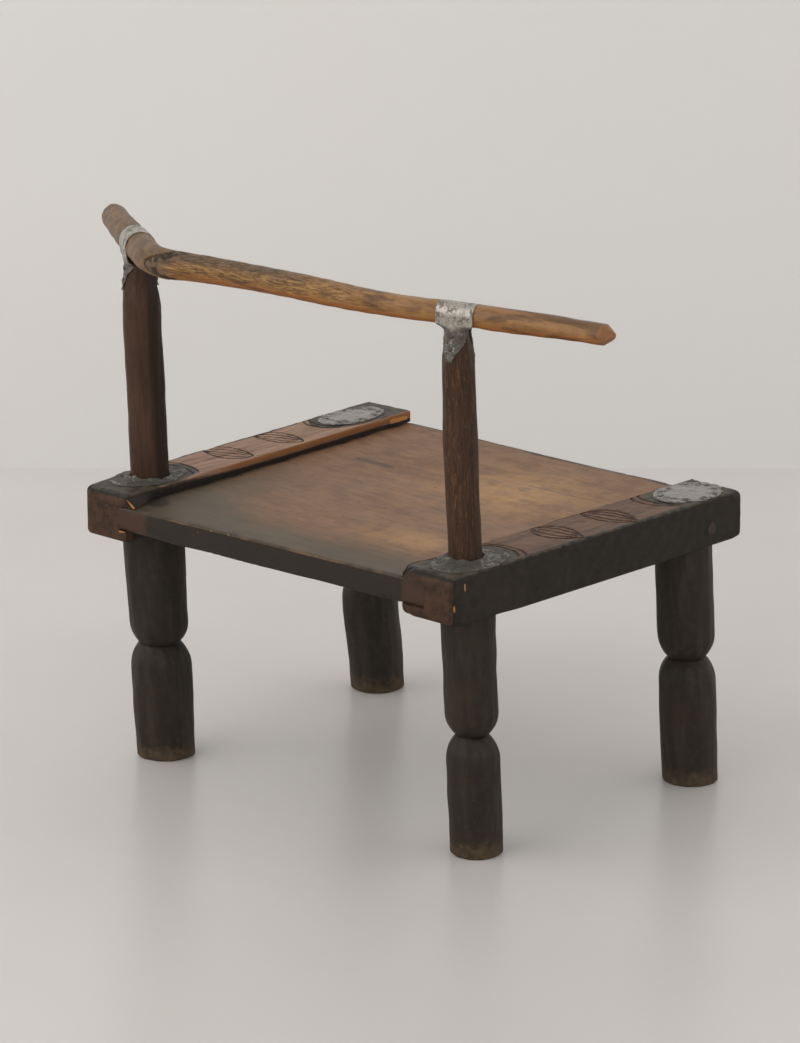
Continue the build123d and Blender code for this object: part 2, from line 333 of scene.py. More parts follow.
def round_edges(points: Array, low: Array, high: Array, radius: Array) -> Array:
    """Round the edges of a box's skin.

    Formula: the nearest place of the box shrunk by the radius, plus at most the radius along
    the line from there to the point. Flat sides, and points further in, stay where they are.
    """
    reach = radius[:, None]
    core = np.clip(points, low + reach, high - reach)
    away = points - core
    length = np.maximum(np.linalg.norm(away, axis=1, keepdims=True), TINY)
    return core + away * np.minimum(reach / length, 1)


def round_corner(points: Array, corner: Plan, inward: Plan, radius: float) -> Array:
    """Round one upright corner of a block, in plan, from its skin to its core.

    Formula: within the corner's square, (dx, dy) becomes (dx, dy) * max(dx, dy) / length, which
    turns each square outline into a round one.
    """
    offset = (points[:, :2] - np.array(corner)) * np.array(inward)
    local = radius - offset
    inside = (local > 0).all(axis=1)
    length = np.maximum(np.linalg.norm(local, axis=1), TINY)
    share = np.where(inside, local.max(axis=1) / length, 1.0)[:, None]
    moved = points.copy()
    moved[:, :2] = np.array(corner) + (radius - local * share) * np.array(inward)
    return moved


@dataclass(frozen=True)
class Seat:
    """Plan and levels of the seat, of which the middle and the levels come from the frame.

    Attributes:
        middle: the seat's middle in the row's frame.
        out: each rail's outer corner, out to the side from the middle.
        ends: each rail's end, from the middle.
        board_ends: the board's end beside each rail, from the middle.
        grooves: how deep each rail is grooved.
        play: room round the board in the grooves.
    """

    middle: Plan
    underside: float
    top: float
    board_low: float
    board_top: float
    out: dict[str, float]
    ends: dict[str, float]
    board_ends: dict[str, float]
    grooves: dict[str, float]
    rail_width: float = 52.4
    play: float = 0.3

    @classmethod
    def from_frame(cls) -> "Seat":
        """Read the levels from the boxes of the rail and the board, and the middle from both.

        Formula: the left rail's rear end is the row's largest y, and the end of the board's
        tongue at the front left is its largest x.
        """
        rail, board = (np.array(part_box(node)) / MM for node in ("side_rail_left", "seat_board"))
        out = {"rear_left": 204.7, "rear_right": 205.0, "front_left": 217.5, "front_right": 211.0}
        ends = {"rear_left": 185.0, "rear_right": 176.5, "front_left": 182.5, "front_right": 180.3}
        board_ends = {"rear_left": 185.0, "rear_right": 173.0, "front_left": 178.3,
                      "front_right": 178.3}
        seat = cls((0.0, 0.0), rail[0, 2], rail[1, 2], board[0, 2], board[1, 2], out, ends,
                   board_ends, {"left": 8.4, "right": 22.0})
        tongue = seat.outer(1.0, -board_ends["front_left"]) - seat.tongue_inset("left")
        return replace(seat, middle=(board[1, 0] - tongue, rail[1, 1] - ends["rear_left"]))

    def outer(self, x: Array | float, y: Array | float) -> Array:
        """Distance from the middle out to the outer face, at y, of the rail on x's side."""
        faces = []
        for side in OUTWARD:
            rear, front = f"rear_{side}", f"front_{side}"
            share = (self.ends[rear] - y) / (self.ends[rear] + self.ends[front])
            faces.append(self.out[rear] + (self.out[front] - self.out[rear]) * share)
        return np.where(np.asarray(x) > 0, *faces)

    def tongue_inset(self, side: str) -> float:
        """Distance in from a rail's outer face to the end of the board's tongue."""
        return self.rail_width - self.grooves[side] + self.play

    def board_end(self, end: str, x: Array) -> Array:
        """Distance from the middle to the board's front or rear edge at x."""
        left, right = self.board_ends[f"{end}_left"], self.board_ends[f"{end}_right"]
        return right + (left - right) * np.clip((x + 174) / 334, 0, 1)

    def sole(self, node: str) -> Plan:
        """Middle of a leg's sole: the middle of the node's points on the floor."""
        points = np.array([vertex.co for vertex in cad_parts[node].data.vertices]) / MM
        low = points[points[:, 2] < 0.05]
        return tuple((low.min(axis=0) + low.max(axis=0))[:2] / 2 - np.array(self.middle))

    def make(self, surface: Surface, name: str, finish: Finish, slot: Slot,
             sharp: float) -> bpy.types.Object:
        """Make a surface a piece of the chair in the place of the node of the same name.

        Args:
            surface: the welded surface.
            name: name of the CAD node that the piece stands for.
            finish: the piece's material.
            slot: the record's slot for it; not used.
            sharp: angle in degrees past which an edge stays sharp.

        Returns:
            The finished object.
        """
        mesh = bpy.data.meshes.new(f"{name}_skin")
        places = (surface.points + np.array([*self.middle, 0.0])) * MM
        mesh.from_pydata(places.tolist(), [], surface.loops())
        flow = surface.points if surface.flow is None else surface.flow
        column = mesh.attributes.new("flow", "FLOAT_VECTOR", "POINT")
        column.data.foreach_set("vector", (flow * MM).astype(np.float32).ravel())
        for label, values in surface.masks.items():
            column = mesh.attributes.new(label, "FLOAT", "POINT")
            column.data.foreach_set("value", values.astype(np.float32))
        work = bmesh.new()
        work.from_mesh(mesh)
        bmesh.ops.recalc_face_normals(work, faces=work.faces)
        work.to_mesh(mesh)
        work.free()
        mesh.shade_smooth()
        mesh.set_sharp_from_angle(angle=radians(sharp))
        mesh.materials.append(finish)
        piece = bpy.data.objects.new(f"{name}_dressed", mesh)
        bpy.context.scene.collection.objects.link(piece)
        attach(piece, "root")
        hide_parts(name)
        log.info("%s: %d points, %d faces", piece.name, len(mesh.vertices), len(mesh.polygons))
        return piece


# ---- Node trees ----


class Wire:
    """A value on its way through a node tree, with the operators of arithmetic."""

    def __init__(self, tree: "Tree", socket: bpy.types.NodeSocket) -> None:
        """Wrap an output socket of a tree."""
        self.tree = tree
        self.socket = socket

    def maths(self, operation: str, *values: "Wire | float") -> "Wire":
        """A Math node on these values, in order."""
        return self.tree.node("ShaderNodeMath", {"operation": operation}, dict(enumerate(values)))

    def __add__(self, other: "Wire | float") -> "Wire":
        """Sum."""
        return self.maths("ADD", self, other)

    def __sub__(self, other: "Wire | float") -> "Wire":
        """Difference."""
        return self.maths("SUBTRACT", self, other)

    def __rsub__(self, other: float) -> "Wire":
        """Difference from a number."""
        return self.maths("SUBTRACT", other, self)

    def __mul__(self, other: "Wire | float") -> "Wire":
        """Product."""
        return self.maths("MULTIPLY", self, other)

    def __truediv__(self, other: "Wire | float") -> "Wire":
        """Quotient."""
        return self.maths("DIVIDE", self, other)

    __radd__ = __add__
    __rmul__ = __mul__

    def larger(self, other: "Wire | float") -> "Wire":
        """The larger of two values."""
        return self.maths("MAXIMUM", self, other)

    def size(self) -> "Wire":
        """Absolute value."""
        return self.maths("ABSOLUTE", self)

    def step(self, low: float, high: float) -> "Wire":
        """Smooth step from 0 at low to 1 at high, which may lie below low."""
        settings = {"interpolation_type": "SMOOTHSTEP"}
        return self.tree.node("ShaderNodeMapRange", settings, {0: self, 1: low, 2: high})


class Tree:
    """Node tree of one material or world, whose nodes are added by one method."""

    def __init__(self, name: str, home: bpy.types.bpy_prop_collection | None = None) -> None:
        """Start an empty tree on a new material, or on a new member of another home."""
        self.owner = (bpy.data.materials if home is None else home).new(name)
        self.owner.use_nodes = True
        self.nodes, self.links = self.owner.node_tree.nodes, self.owner.node_tree.links
        self.nodes.clear()

    def node(self, kind: str, settings: dict | None = None, inputs: dict | None = None,
             output: int | str = 0) -> Wire:
        """Add a node.

        Args:
            kind: the node's type.
            settings: its own settings, set before its sockets.
            inputs: a value or a wire for each socket, by name or number.
            output: the output socket to hand on.

        Returns:
            The wire that leaves the node.
        """
        made = self.nodes.new(kind)
        for key, value in (settings or {}).items():
            setattr(made, key, value)
        for key, value in (inputs or {}).items():
            if isinstance(value, Wire):
                self.links.new(value.socket, made.inputs[key])
            else:
                made.inputs[key].default_value = value
        return Wire(self, made.outputs[output])

    def mask(self, name: str) -> Wire:
        """The piece's own mask of this name, 0 where it has none."""
        return self.node("ShaderNodeAttribute", {"attribute_name": name}, output="Fac")

    def ragged(self, name: str, low: float, high: float, *noises: tuple[Wire, float]) -> Wire:
        """A mask whose edge strays with each noise by its weight, stepped from low to high."""
        total = self.mask(name)
        for noise, weight in noises:
            total = total + (noise - 0.5) * weight
        return total.step(low, high)

    def flow(self) -> Wire:
        """Place in the straightened wood, in metres, grain along z."""
        return self.node("ShaderNodeAttribute", {"attribute_name": "flow"}, output="Vector")

    def place(self) -> Wire:
        """Place in the row's frame, in metres."""
        return self.node("ShaderNodeTexCoord", output="Object")

    def apart(self, vector: Wire) -> tuple[Wire, Wire, Wire]:
        """The three parts of a vector."""
        outputs = self.node("ShaderNodeSeparateXYZ", inputs={0: vector}).socket.node.outputs
        return tuple(Wire(self, outputs[number]) for number in range(3))

    def scaled(self, vector: Wire, scale: Point) -> Wire:
        """A vector with each part multiplied by its own scale."""
        return self.node("ShaderNodeMapping", inputs={"Vector": vector, "Scale": scale})

    def noise(self, vector: Wire, scale: float, detail: float = 3.0, roughness: float = 0.55,
              distortion: float = 0.0) -> Wire:
        """Noise from 0 to 1 with this many cells per metre."""
        return self.node("ShaderNodeTexNoise", inputs={"Vector": vector, "Scale": scale, "Detail": detail,
                                             "Roughness": roughness, "Distortion": distortion})

    def streaks(self, scale: float, stretch: float, detail: float = 4.0,
                distortion: float = 0.0) -> Wire:
        """Noise drawn out along the grain by this many times."""
        along = self.scaled(self.flow(), (1, 1, 1 / stretch))
        return self.noise(along, scale, detail, 0.6, distortion)

    def specks(self, vector: Wire, scale: float, size: float, share: float) -> Wire:
        """Scattered spots, as a mask.

        Args:
            vector: coordinates in metres.
            scale: cells per metre, each of which may hold one spot.
            size: radius of a spot as a share of a cell.
            share: share of the cells that hold one.

        Returns:
            1 on a spot and 0 elsewhere.
        """
        inputs = {"Vector": vector, "Scale": scale}
        near, pick = (self.node("ShaderNodeTexVoronoi", inputs=inputs, output=output)
                      for output in ("Distance", "Color"))
        chosen = self.apart(pick)[0].step(share + 0.02, share - 0.02)
        return near.step(size, size * 0.6) * chosen

    def mix(self, factor: Wire | float, under: Wire | Colour, over: Wire | Colour) -> Wire:
        """Colour over another by a factor."""
        settings = {"data_type": "RGBA", "clamp_factor": True}
        return self.node("ShaderNodeMix", settings, {0: factor, 6: under, 7: over}, output=2)

    def finish(self, colour: Wire, rough: Wire, height: Wire, relief: float,
               specular: float = 0.5, metal: Wire | float = 0.0) -> Finish:
        """Close the tree with a shader over a bump.

        Args:
            colour: its base colour.
            rough: its roughness.
            height: bump height, about 0 to 1.
            relief: millimetres that a height of 1 stands for.
            specular: its specular level.
            metal: how metallic it is.

        Returns:
            The finished material.
        """
        bump = self.node("ShaderNodeBump", inputs={"Height": height, "Distance": relief * MM,
                                         "Strength": 1.0})
        return self.output(self.node("ShaderNodeBsdfPrincipled", inputs={
            "Base Color": colour, "Roughness": rough, "Specular IOR Level": specular,
            "Metallic": metal, "Normal": bump}))

    def output(self, shader: Wire,
               kind: str = "ShaderNodeOutputMaterial") -> Finish | bpy.types.World:
        """Send a shader to the surface, and hand on the material or world."""
        self.links.new(shader.socket, self.nodes.new(kind).inputs["Surface"])
        return self.owner


# ---- Finishes ----


@dataclass(frozen=True)
class SeatFinish:
    """Plank polished by use: honey in the middle, grey towards the rear, sooty at its edges."""

    deep: Colour = swatch(90, 62, 42)
    warm: Colour = swatch(136, 101, 72)
    honey: Colour = swatch(170, 126, 72)
    grey: Colour = swatch(74, 66, 51)
    sawn: Colour = swatch(66, 45, 33)
    soot: Colour = swatch(32, 28, 22)
    bare: Colour = swatch(146, 104, 66)
    pore: Colour = swatch(46, 32, 23)
    crack_y: float = -95.0
    crack_ends: Plan = (-38.0, -160.0)

    def crack(self, tree: Tree, seat: Seat) -> Wire:
        """Fine dark crack along the grain, as a mask.

        Formula: 1 where y lies within half a millimetre of a line that wavers with x.
        """
        x, y, _ = tree.apart(tree.place())
        waver = tree.noise(tree.place(), 45, 3) * 0.006 - 0.003
        line = y - (self.crack_y + seat.middle[1]) * MM + waver
        near, far = (end + seat.middle[0] for end in self.crack_ends)
        span = x.step(near * MM, (near - 25) * MM) * x.step(far * MM, (far + 15) * MM)
        broken = tree.noise(tree.place(), 170, 2).step(0.36, 0.5)
        return line.size().step(0.0009, 0.0003) * span * broken

    def build(self, seat: Seat) -> Finish:
        """Make the material."""
        tree = Tree("polished_seat_plank")
        fibre, bands = tree.streaks(780, 13, 5, 0.4), tree.streaks(130, 5, 5, 1.2)
        stains, cloud = (tree.noise(tree.flow(), *size) for size in ((11, 4), (42, 5)))
        colour = tree.mix(fibre.step(0.32, 0.64) * 0.5 + bands.step(0.36, 0.62) * 0.25
                          + cloud.step(0.35, 0.65) * 0.25, self.deep, self.warm)
        colour = tree.mix(tree.mask("rub") * (0.3 + 0.7 * cloud.step(0.35, 0.6)) * 0.85,
                          colour, self.honey)
        colour = tree.mix(tree.ragged("grey", 0.1, 0.95, (cloud, 0.9)) * 0.9, colour, self.grey)
        pores = tree.streaks(1300, 7, 3).step(0.4, 0.3)
        pits = tree.specks(tree.scaled(tree.flow(), (1, 1, 0.5)), 150, 0.15, 0.16)
        crack = self.crack(tree, seat)
        dark = (pores * 0.5).larger(pits * 0.8).larger(crack * 0.8)
        colour = tree.mix(dark, colour, self.pore)
        colour = tree.mix(tree.ragged("stain", 0.35, 1.0, (bands, 1.6)) * 0.6, colour, self.soot)
        # The soot mask also darkens a band of the top along the left rail's lip, towards the rear left
        # and at the rear right corner.
        black = tree.ragged("soot", 0.38, 0.75, (cloud, 0.9), (fibre, 0.4))
        colour = tree.mix(black * 0.96, colour, self.soot)
        colour = tree.mix(tree.ragged("sawn", 0.3, 0.9, (cloud, 1.2)) * 0.85, colour, self.sawn)
        bare = tree.ragged("bare", 0.55, 0.7, (cloud, 0.5))
        nicks = tree.specks(tree.place(), 210, 0.2, 0.2) * tree.mask("arris")
        colour = tree.mix(bare.larger(nicks), colour, self.bare)
        rough = 0.47 + (stains - 0.5) * 0.25 + fibre * 0.12 - tree.mask("rub") * 0.06
        height = fibre * 0.6 + bands * 0.5 - pores * 0.5 - pits - crack - bare * 0.4
        return tree.finish(colour, rough, height, 0.25, 0.22)


@dataclass(frozen=True)
class RailFinish:
    """Carved rail: brown on top where hands rub it, blackened on its flanks and corners, its black
    lighter on top with dust and painted sheen, and a painted shadow at the foot of its inner lip.
    """

    name: str
    deep: Colour
    warm: Colour
    soot: Colour = swatch(30, 25, 19)
    sheen: Colour = swatch(56, 48, 39)
    # Lighter black of the top faces: dust, and painted sheen.
    dusty: Colour = swatch(78, 69, 56)
    sawn: Colour = swatch(70, 49, 36)
    rub: Colour = swatch(122, 76, 34)
    bare: Colour = swatch(166, 112, 60)
    cut: Colour = swatch(24, 15, 10)

    def build(self) -> Finish:
        """Make the material."""
        tree = Tree(self.name)
        fibre, bands = tree.streaks(560, 24, 5, 0.3), tree.streaks(90, 12, 3, 0.6)
        stains, cloud = (tree.noise(tree.place(), size, 4) for size in (14, 120))
        colour = tree.mix(fibre.step(0.3, 0.65) * 0.6 + bands.step(0.35, 0.6) * 0.4,
                          self.deep, self.warm)
        colour = tree.mix(tree.ragged("rub", 0.3, 0.8, (bands, 0.8)) * 0.85, colour, self.rub)
        pores = tree.streaks(1400, 9, 2).step(0.35, 0.27)
        colour = tree.mix(pores * 0.45, colour, self.cut)
        char = tree.mix(cloud.step(0.42, 0.72) * 0.35 + stains.step(0.45, 0.7) * 0.2,
                        self.soot, self.sheen)
        # Dust and painted sheen: the black on the top faces is lighter than on the flanks.
        char = tree.mix(tree.mask("upper") * cloud.step(0.3, 0.62) * 0.85, char, self.dusty)
        black = tree.ragged("soot", 0.3, 0.72, (stains, 0.35), (cloud, 0.3))
        colour = tree.mix(black, colour, char)
        sawn = tree.mix(cloud.step(0.3, 0.62) * 0.75 + 0.25, self.soot, self.sawn)
        colour = tree.mix(tree.ragged("sawn", 0.3, 0.8, (stains, 0.5), (cloud, 0.5)), colour, sawn)
        # Painted shadow at the foot of the inner lip, in the near-black of the cuts.
        colour = tree.mix(tree.mask("hollow"), colour, self.cut)
        colour = tree.mix(tree.mask("carve").step(0.05, 0.55), colour, self.cut)
        bare = tree.ragged("bare", 0.4, 0.62, (cloud, 0.8))
        specks = tree.specks(tree.place(), 330, 0.16, 0.2) * tree.mask("arris")
        dust = tree.specks(tree.place(), 130, 0.1, 0.12) * black
        colour = tree.mix(dust * 0.5, colour, self.sheen)
        colour = tree.mix(bare.larger(specks), colour, self.bare)
        rough = 0.46 + (stains - 0.5) * 0.2 + cloud * 0.16 + tree.mask("sawn") * 0.15
        height = fibre * 0.5 + cloud * 0.5 + bands * 0.4 - pores * 0.4 - bare * 0.6
        return tree.finish(colour, rough, height, 0.25, 0.18)


@dataclass(frozen=True)
class StickFinish:
    """Blackened leg, and above the rail the red-brown stick of a post, with painted shade on the post's
    front right.

    Attributes:
        name: the material's name.
        streak: colour of the bright fibres in the post.
        streaky: how strongly those fibres show, 0 to 1.
    """

    name: str
    streak: Colour
    streaky: float
    soot: Colour = swatch(38, 32, 25)
    haze: Colour = swatch(60, 52, 42)
    brown: Colour = swatch(54, 42, 31)
    dust: Colour = swatch(92, 74, 54)
    post: Colour = swatch(72, 50, 36)
    deep: Colour = swatch(32, 21, 14)

    def build(self) -> Finish:
        """Make the material."""
        tree = Tree(self.name)
        fibre, bands = tree.streaks(640, 22, 5, 0.4), tree.streaks(110, 8, 3, 0.5)
        stains, cloud = (tree.noise(tree.place(), size, 4) for size in (24, 170))
        colour = tree.mix(bands.step(0.4, 0.68) * 0.4 + cloud.step(0.45, 0.7) * 0.25,
                          self.soot, self.haze)
        colour = tree.mix(stains.step(0.5, 0.72) * 0.5, colour, self.brown)
        post = tree.mix(fibre.step(0.62, 0.35) * (0.25 + 0.6 * self.streaky), self.post, self.deep)
        post = tree.mix(stains.step(0.35, 0.7) * 0.35, post, self.deep)
        bright = tree.streaks(560, 7, 5, 1.2) + (stains - 0.5) * 0.45
        post = tree.mix(bright.step(0.56, 0.7) * self.streaky, post, self.streak)
        # Painted shade: the post's front right side is darkened to deep brown, by the flank's shaded
        # share.
        post = tree.mix(tree.mask("shade") * 0.8, post, self.deep)
        colour = tree.mix(tree.mask("post"), colour, post)
        dusty = tree.ragged("dust", 0.35, 0.95, (cloud, 0.9))
        colour = tree.mix(dusty * 0.7, colour, self.dust)
        specks = tree.specks(tree.place(), 190, 0.13, 0.08)
        colour = tree.mix(specks * 0.55, colour, self.dust)
        colour = tree.mix(tree.mask("crease"), colour, self.deep)
        rough = 0.5 + (stains - 0.5) * 0.2 + cloud * 0.12 + dusty * 0.2
        height = fibre * 0.55 + cloud * 0.45 + bands * 0.5 - specks * 0.3
        return tree.finish(colour, rough, height, 0.3, 0.18)


@dataclass(frozen=True)
class BarFinish:
    """Hand-polished branch: golden with dark flecks, grey over its bend, brown at the right, with a
    painted orange highlight along its underside and painted shade along the top of its right part.
    """

    gold: Colour = swatch(158, 118, 64)
    amber: Colour = swatch(110, 72, 38)
    brown: Colour = swatch(142, 102, 62)
    grey: Colour = swatch(82, 66, 48)
    dark: Colour = swatch(42, 29, 18)
    fresh: Colour = swatch(126, 84, 50)
    pink: Colour = swatch(116, 90, 66)
    # Painted highlight along the underside.
    orange: Colour = swatch(152, 92, 42)

    def build(self) -> Finish:
        """Make the material."""
        tree = Tree("polished_branch")
        fibre, bands = tree.streaks(620, 8, 5, 0.8), tree.streaks(170, 6, 4, 1.0)
        cloud = tree.noise(tree.flow(), 90, 5)
        colour = tree.mix(fibre.step(0.35, 0.62), self.amber, self.gold)
        smooth = tree.mix(bands.step(0.35, 0.65) * 0.6, self.brown, self.amber)
        smooth = tree.mix(cloud.step(0.45, 0.7) * 0.5, smooth, self.gold)
        colour = tree.mix(tree.mask("smooth"), colour, smooth)
        weathered = tree.mix(cloud.step(0.38, 0.62), self.grey, self.pink)
        over = tree.ragged("grey", 0.3, 0.8, (cloud, 0.6), (bands, 0.7))
        colour = tree.mix(over * 0.9, colour, weathered)
        # Painted highlight: the underside turned orange, except where it is grey.
        below = tree.ragged("below", 0.35, 0.9, (bands, 0.8)) * (1 - over)
        colour = tree.mix(below * 0.7, colour, self.orange)
        flecks = tree.streaks(1300, 12, 4, 0.9).step(0.52, 0.38)
        patchy = tree.ragged("fleck", 0.1, 0.9, (bands, 1.2))
        colour = tree.mix(flecks * (0.15 + 0.55 * patchy), colour, self.dark)
        # Dark smudges, made heavier along the top of the right part as painted shade, and round the tip.
        smudge = (tree.streaks(110, 4, 5) + tree.mask("shade") * 0.16).step(0.5, 0.66)
        colour = tree.mix(smudge * 0.55 * (1 - tree.mask("grey")), colour, self.dark)
        colour = tree.mix(tree.mask("lip") * 0.35, colour, self.gold)
        colour = tree.mix(tree.ragged("fresh", 0.35, 0.6, (fibre, 0.4)), colour, self.fresh)
        colour = tree.mix(tree.ragged("pit", 0.3, 0.75, (cloud, 0.3)) * 0.9, colour, self.dark)
        rough = 0.42 + (cloud - 0.5) * 0.2 + over * 0.16 + flecks * patchy * 0.15
        height = fibre * 0.5 + bands * 0.6 - flecks * patchy * 0.6 + cloud * 0.5
        return tree.finish(colour, rough, height, 0.35, 0.3)


@dataclass(frozen=True)
class TinFinish:
    """Dull beaten tin with dark stains.

    Attributes:
        name: the material's name.
        bright: colour where the tin is bare.
        stain: colour of its stains.
        cover: how much of it they take, 0 to 1.
        dull: colour where the bare tin is tarnished.
        grime: colour of a crumpled tail.
    """

    name: str
    bright: Colour
    stain: Colour
    cover: float
    dull: Colour = swatch(116, 111, 100)
    grime: Colour = swatch(56, 49, 38)

    def build(self) -> Finish:
        """Make the material."""
        tree = Tree(self.name)
        blots = tree.noise(tree.place(), 150, 5, 0.62, 0.4)
        fine = tree.noise(tree.place(), 620, 4, 0.62)
        rings = tree.specks(tree.place(), 240, 0.34, 0.4)
        low, high = 0.6 - 0.3 * self.cover, 0.8 - 0.3 * self.cover
        dirty = (blots + (fine - 0.5) * 0.6).step(low, high)
        dirty = dirty.larger(tree.mask("stain")).larger(rings * 0.3) * (1 - tree.mask("shine"))
        colour = tree.mix(fine.step(0.3, 0.7) * 0.4, self.bright, self.dull)
        colour = tree.mix(dirty * 0.85, colour, self.stain)
        dark = tree.mask("tail") * fine.step(0.66, 0.5)
        colour = tree.mix(dark * 0.9, colour, self.grime)
        return tree.finish(colour, 0.4 + dirty * 0.3 + (fine - 0.5) * 0.2,
                           fine * 0.5 + blots * 0.6 - dirty * 0.25, 0.3,
                           metal=(0.85 - dirty * 0.7) * (1 - dark * 0.8))


@dataclass(frozen=True)
class IronFinish:
    """Dark hand-made nails, a little rusty."""

    iron: Colour = swatch(70, 66, 61)
    rust: Colour = swatch(74, 54, 42)

    def build(self) -> Finish:
        """Make the material."""
        tree = Tree("dark_nail_iron")
        blots = tree.noise(tree.place(), 520, 3)
        colour = tree.mix(blots.step(0.4, 0.65), self.iron, self.rust)
        return tree.finish(colour, 0.5 + blots * 0.2, blots, 0.15, metal=0.7 - blots * 0.6)


@dataclass(frozen=True)
class PegFinish:
    """Reddish end of a wooden peg, with rings round its pith."""

    red: Colour = swatch(54, 38, 29)
    dark: Colour = swatch(40, 31, 25)

    def build(self) -> Finish:
        """Make the material."""
        tree = Tree("peg_end_grain")
        rings = tree.noise(tree.place(), 300, 3)
        colour = tree.mix(rings.step(0.4, 0.6), self.red, self.dark)
        return tree.finish(colour, 0.55 + rings * 0.2, rings, 0.3, 0.35)


# ---- Plates, carving and scars ----


class Piece:
    """Part of the chair: a surface that stands for a CAD node.

    Attributes:
        seat: the seat's plan, which every piece holds.
        node: the CAD node's name, which every piece holds.
        slot: the record's slot for it.
        sharp: angle in degrees past which an edge stays sharp.
    """

    slot = Slot.TIN
    sharp = 50.0

    def shape(self) -> Surface:
        """The piece's surface, welded."""
        raise NotImplementedError

    def build(self, finish: Finish) -> bpy.types.Object:
        """Make the piece."""
        return self.seat.make(self.shape(), self.node, finish, self.slot, self.sharp)


@dataclass(frozen=True)
class Plate(Piece):
    """Tin plate on a rail's top, over the joint of a leg.

    Attributes:
        corner: which corner it is on, such as "front_left".
        centre: its middle, in plan.
        width: size across the rail.
        length: size along the rail.
        tacks: (degrees round it from +x, distance in from its rim) of each tack.
        ragged: how far its rim strays from an ellipse, as a share of its size.
        post: the post that passes through it as (x, y, radius), or None.
        blot: a dark blot on it as (x, y, radius), or None.
    """

    seat: Seat
    corner: str
    centre: Plan
    width: float
    length: float
    tacks: tuple[Plan, ...]
    ragged: float
    post: Point | None = None
    blot: Point | None = None
    thickness: float = 0.9
    around: int = 160
    across: int = 34

    @property
    def node(self) -> str:
        """The CAD node's name."""
        return f"corner_plate_{self.corner}"

    @property
    def seed(self) -> int:
        """Number that fixes this plate's dents and rim."""
        return sum(map(ord, self.corner))

    def rim(self, angles: Array) -> Array:
        """Radius of the rim at each angle: an ellipse with a ragged edge."""
        a, b = self.width / 2, self.length / 2
        ellipse = a * b / np.sqrt((b * np.cos(angles)) ** 2 + (a * np.sin(angles)) ** 2)
        jags = 0.6 * wave(angles, self.seed, (3, 9)) + 0.5 * wave(angles, self.seed + 1, (9, 40))
        return ellipse * (1 + self.ragged * np.clip(jags, -2.2, 1.4))

    def spread(self, points: Array) -> Array:
        """How far out points lie in plan: 0 at the plate's middle and 1 on its ellipse."""
        offset = (points[:, :2] - np.array(self.centre)) / (self.width / 2, self.length / 2)
        return np.linalg.norm(offset, axis=1)

    def tack_places(self) -> Array:
        """Plan of each tack, a little in from the rim."""
        degrees, insets = np.array(self.tacks).T
        angles = np.radians(degrees)
        around = np.stack([np.cos(angles), np.sin(angles)], axis=1)
        return np.array(self.centre) + (self.rim(angles) - insets)[:, None] * around

    def relief(self, plan: Array) -> Array:
        """Height of the tin over the rail: crumples, and a dimple round each tack.

        Formula: thickness, plus a smooth random field, less a bell-shaped dent at each tack with
        a raised lip round it.
        """
        flat = np.column_stack([plan, np.zeros(len(plan))])
        coarse, fine = ripple(flat, 16, self.seed), ripple(flat, 6, self.seed + 3)
        height = self.thickness + 0.22 * coarse + 0.12 * fine
        for place in self.tack_places():
            gap = gap_to(plan, place)
            height += 0.45 * np.exp(-(((gap - 3.6) / 1.3) ** 2)) - 0.5 * np.exp(-((gap / 2.6) ** 2))
        return np.maximum(height, 0.25)

    def shape(self) -> Surface:
        """The plate as a closed skin: its top, its rim and its underside.

        Formula: rings whose radius goes from the middle, or from the post, to the rim and back
        again under the tin.
        """
        around, across = self.around, self.across
        angles = turns(around)
        out = np.linspace(0, 1, across)[:, None]
        edge = np.vstack([out, out[::-1]])
        centre, inner = np.array(self.centre), np.zeros(around)
        if self.post is not None:
            centre = np.array(self.post[:2])
            inner = self.post[2] + 1.0 + 0.5 * wave(angles, self.seed + 7, (2, 12))
        direction = np.stack([np.cos(angles), np.sin(angles)], axis=1)
        rows = inner + (self.reach_from(centre, direction) - inner) * edge
        plan = centre + rows[..., None] * direction
        height = self.relief(plan.reshape(-1, 2)).reshape(rows.shape)
        height = height * (1 - 0.55 * step(edge, 0.9, 1.0))
        if self.post is not None:
            collar = step(rows - inner, 5.5, 0.0) * (2.0 + 0.9 * wave(angles, self.seed + 9, (2, 9)))
            height = height + np.maximum(collar, 0)
        height[across:] = np.where(edge[across:] > 0, height[across:] - self.thickness * 0.8, 0.1)
        height = np.maximum(height, -0.15)
        points = np.dstack([plan, self.seat.top + height]).reshape(-1, 3)
        faces = grid_faces(2 * across, around, ring=True)
        if self.post is not None:
            first = np.arange(around)
            last = first + (2 * across - 1) * around
            closing = np.stack([last, np.roll(last, -1), np.roll(first, -1), first], axis=1)
            faces = np.vstack([faces, closing])
        masks = {"stain": self.stains(points), "shine": self.shine(points)}
        return Surface(points, faces, masks=masks).weld()

    def reach_from(self, centre: Array, direction: Array) -> Array:
        """Distance from a place on the plate to its rim in each direction.

        Formula: rounds of stepping half the way to the rim's own radius at the angle reached.
        """
        reach = np.full(len(direction), min(self.width, self.length) / 2)
        for _ in range(24):
            offset = centre + reach[:, None] * direction - np.array(self.centre)
            wanted = self.rim(np.arctan2(offset[:, 1], offset[:, 0]))
            reach = reach + 0.5 * (wanted - np.linalg.norm(offset, axis=1))
        return reach

    def stains(self, points: Array) -> Array:
        """Dark ground of the plate: round its tacks, and on its blot."""
        dark = [step(gap_to(points, place), 3.4, 1.6) for place in self.tack_places()]
        if self.blot is not None:
            dark.append(step(gap_to(points, self.blot[:2]), self.blot[2], self.blot[2] * 0.5))
        return most(*dark)

    def shine(self, points: Array) -> Array:
        """Bare bright middle of a front plate: a blot inside its tacks."""
        if self.post is not None:
            return np.zeros(len(points))
        edge = self.spread(points) + 0.12 * ripple(points, 14, self.seed + 5)
        return step(edge, 0.78, 0.5) * (1 - self.stains(points))


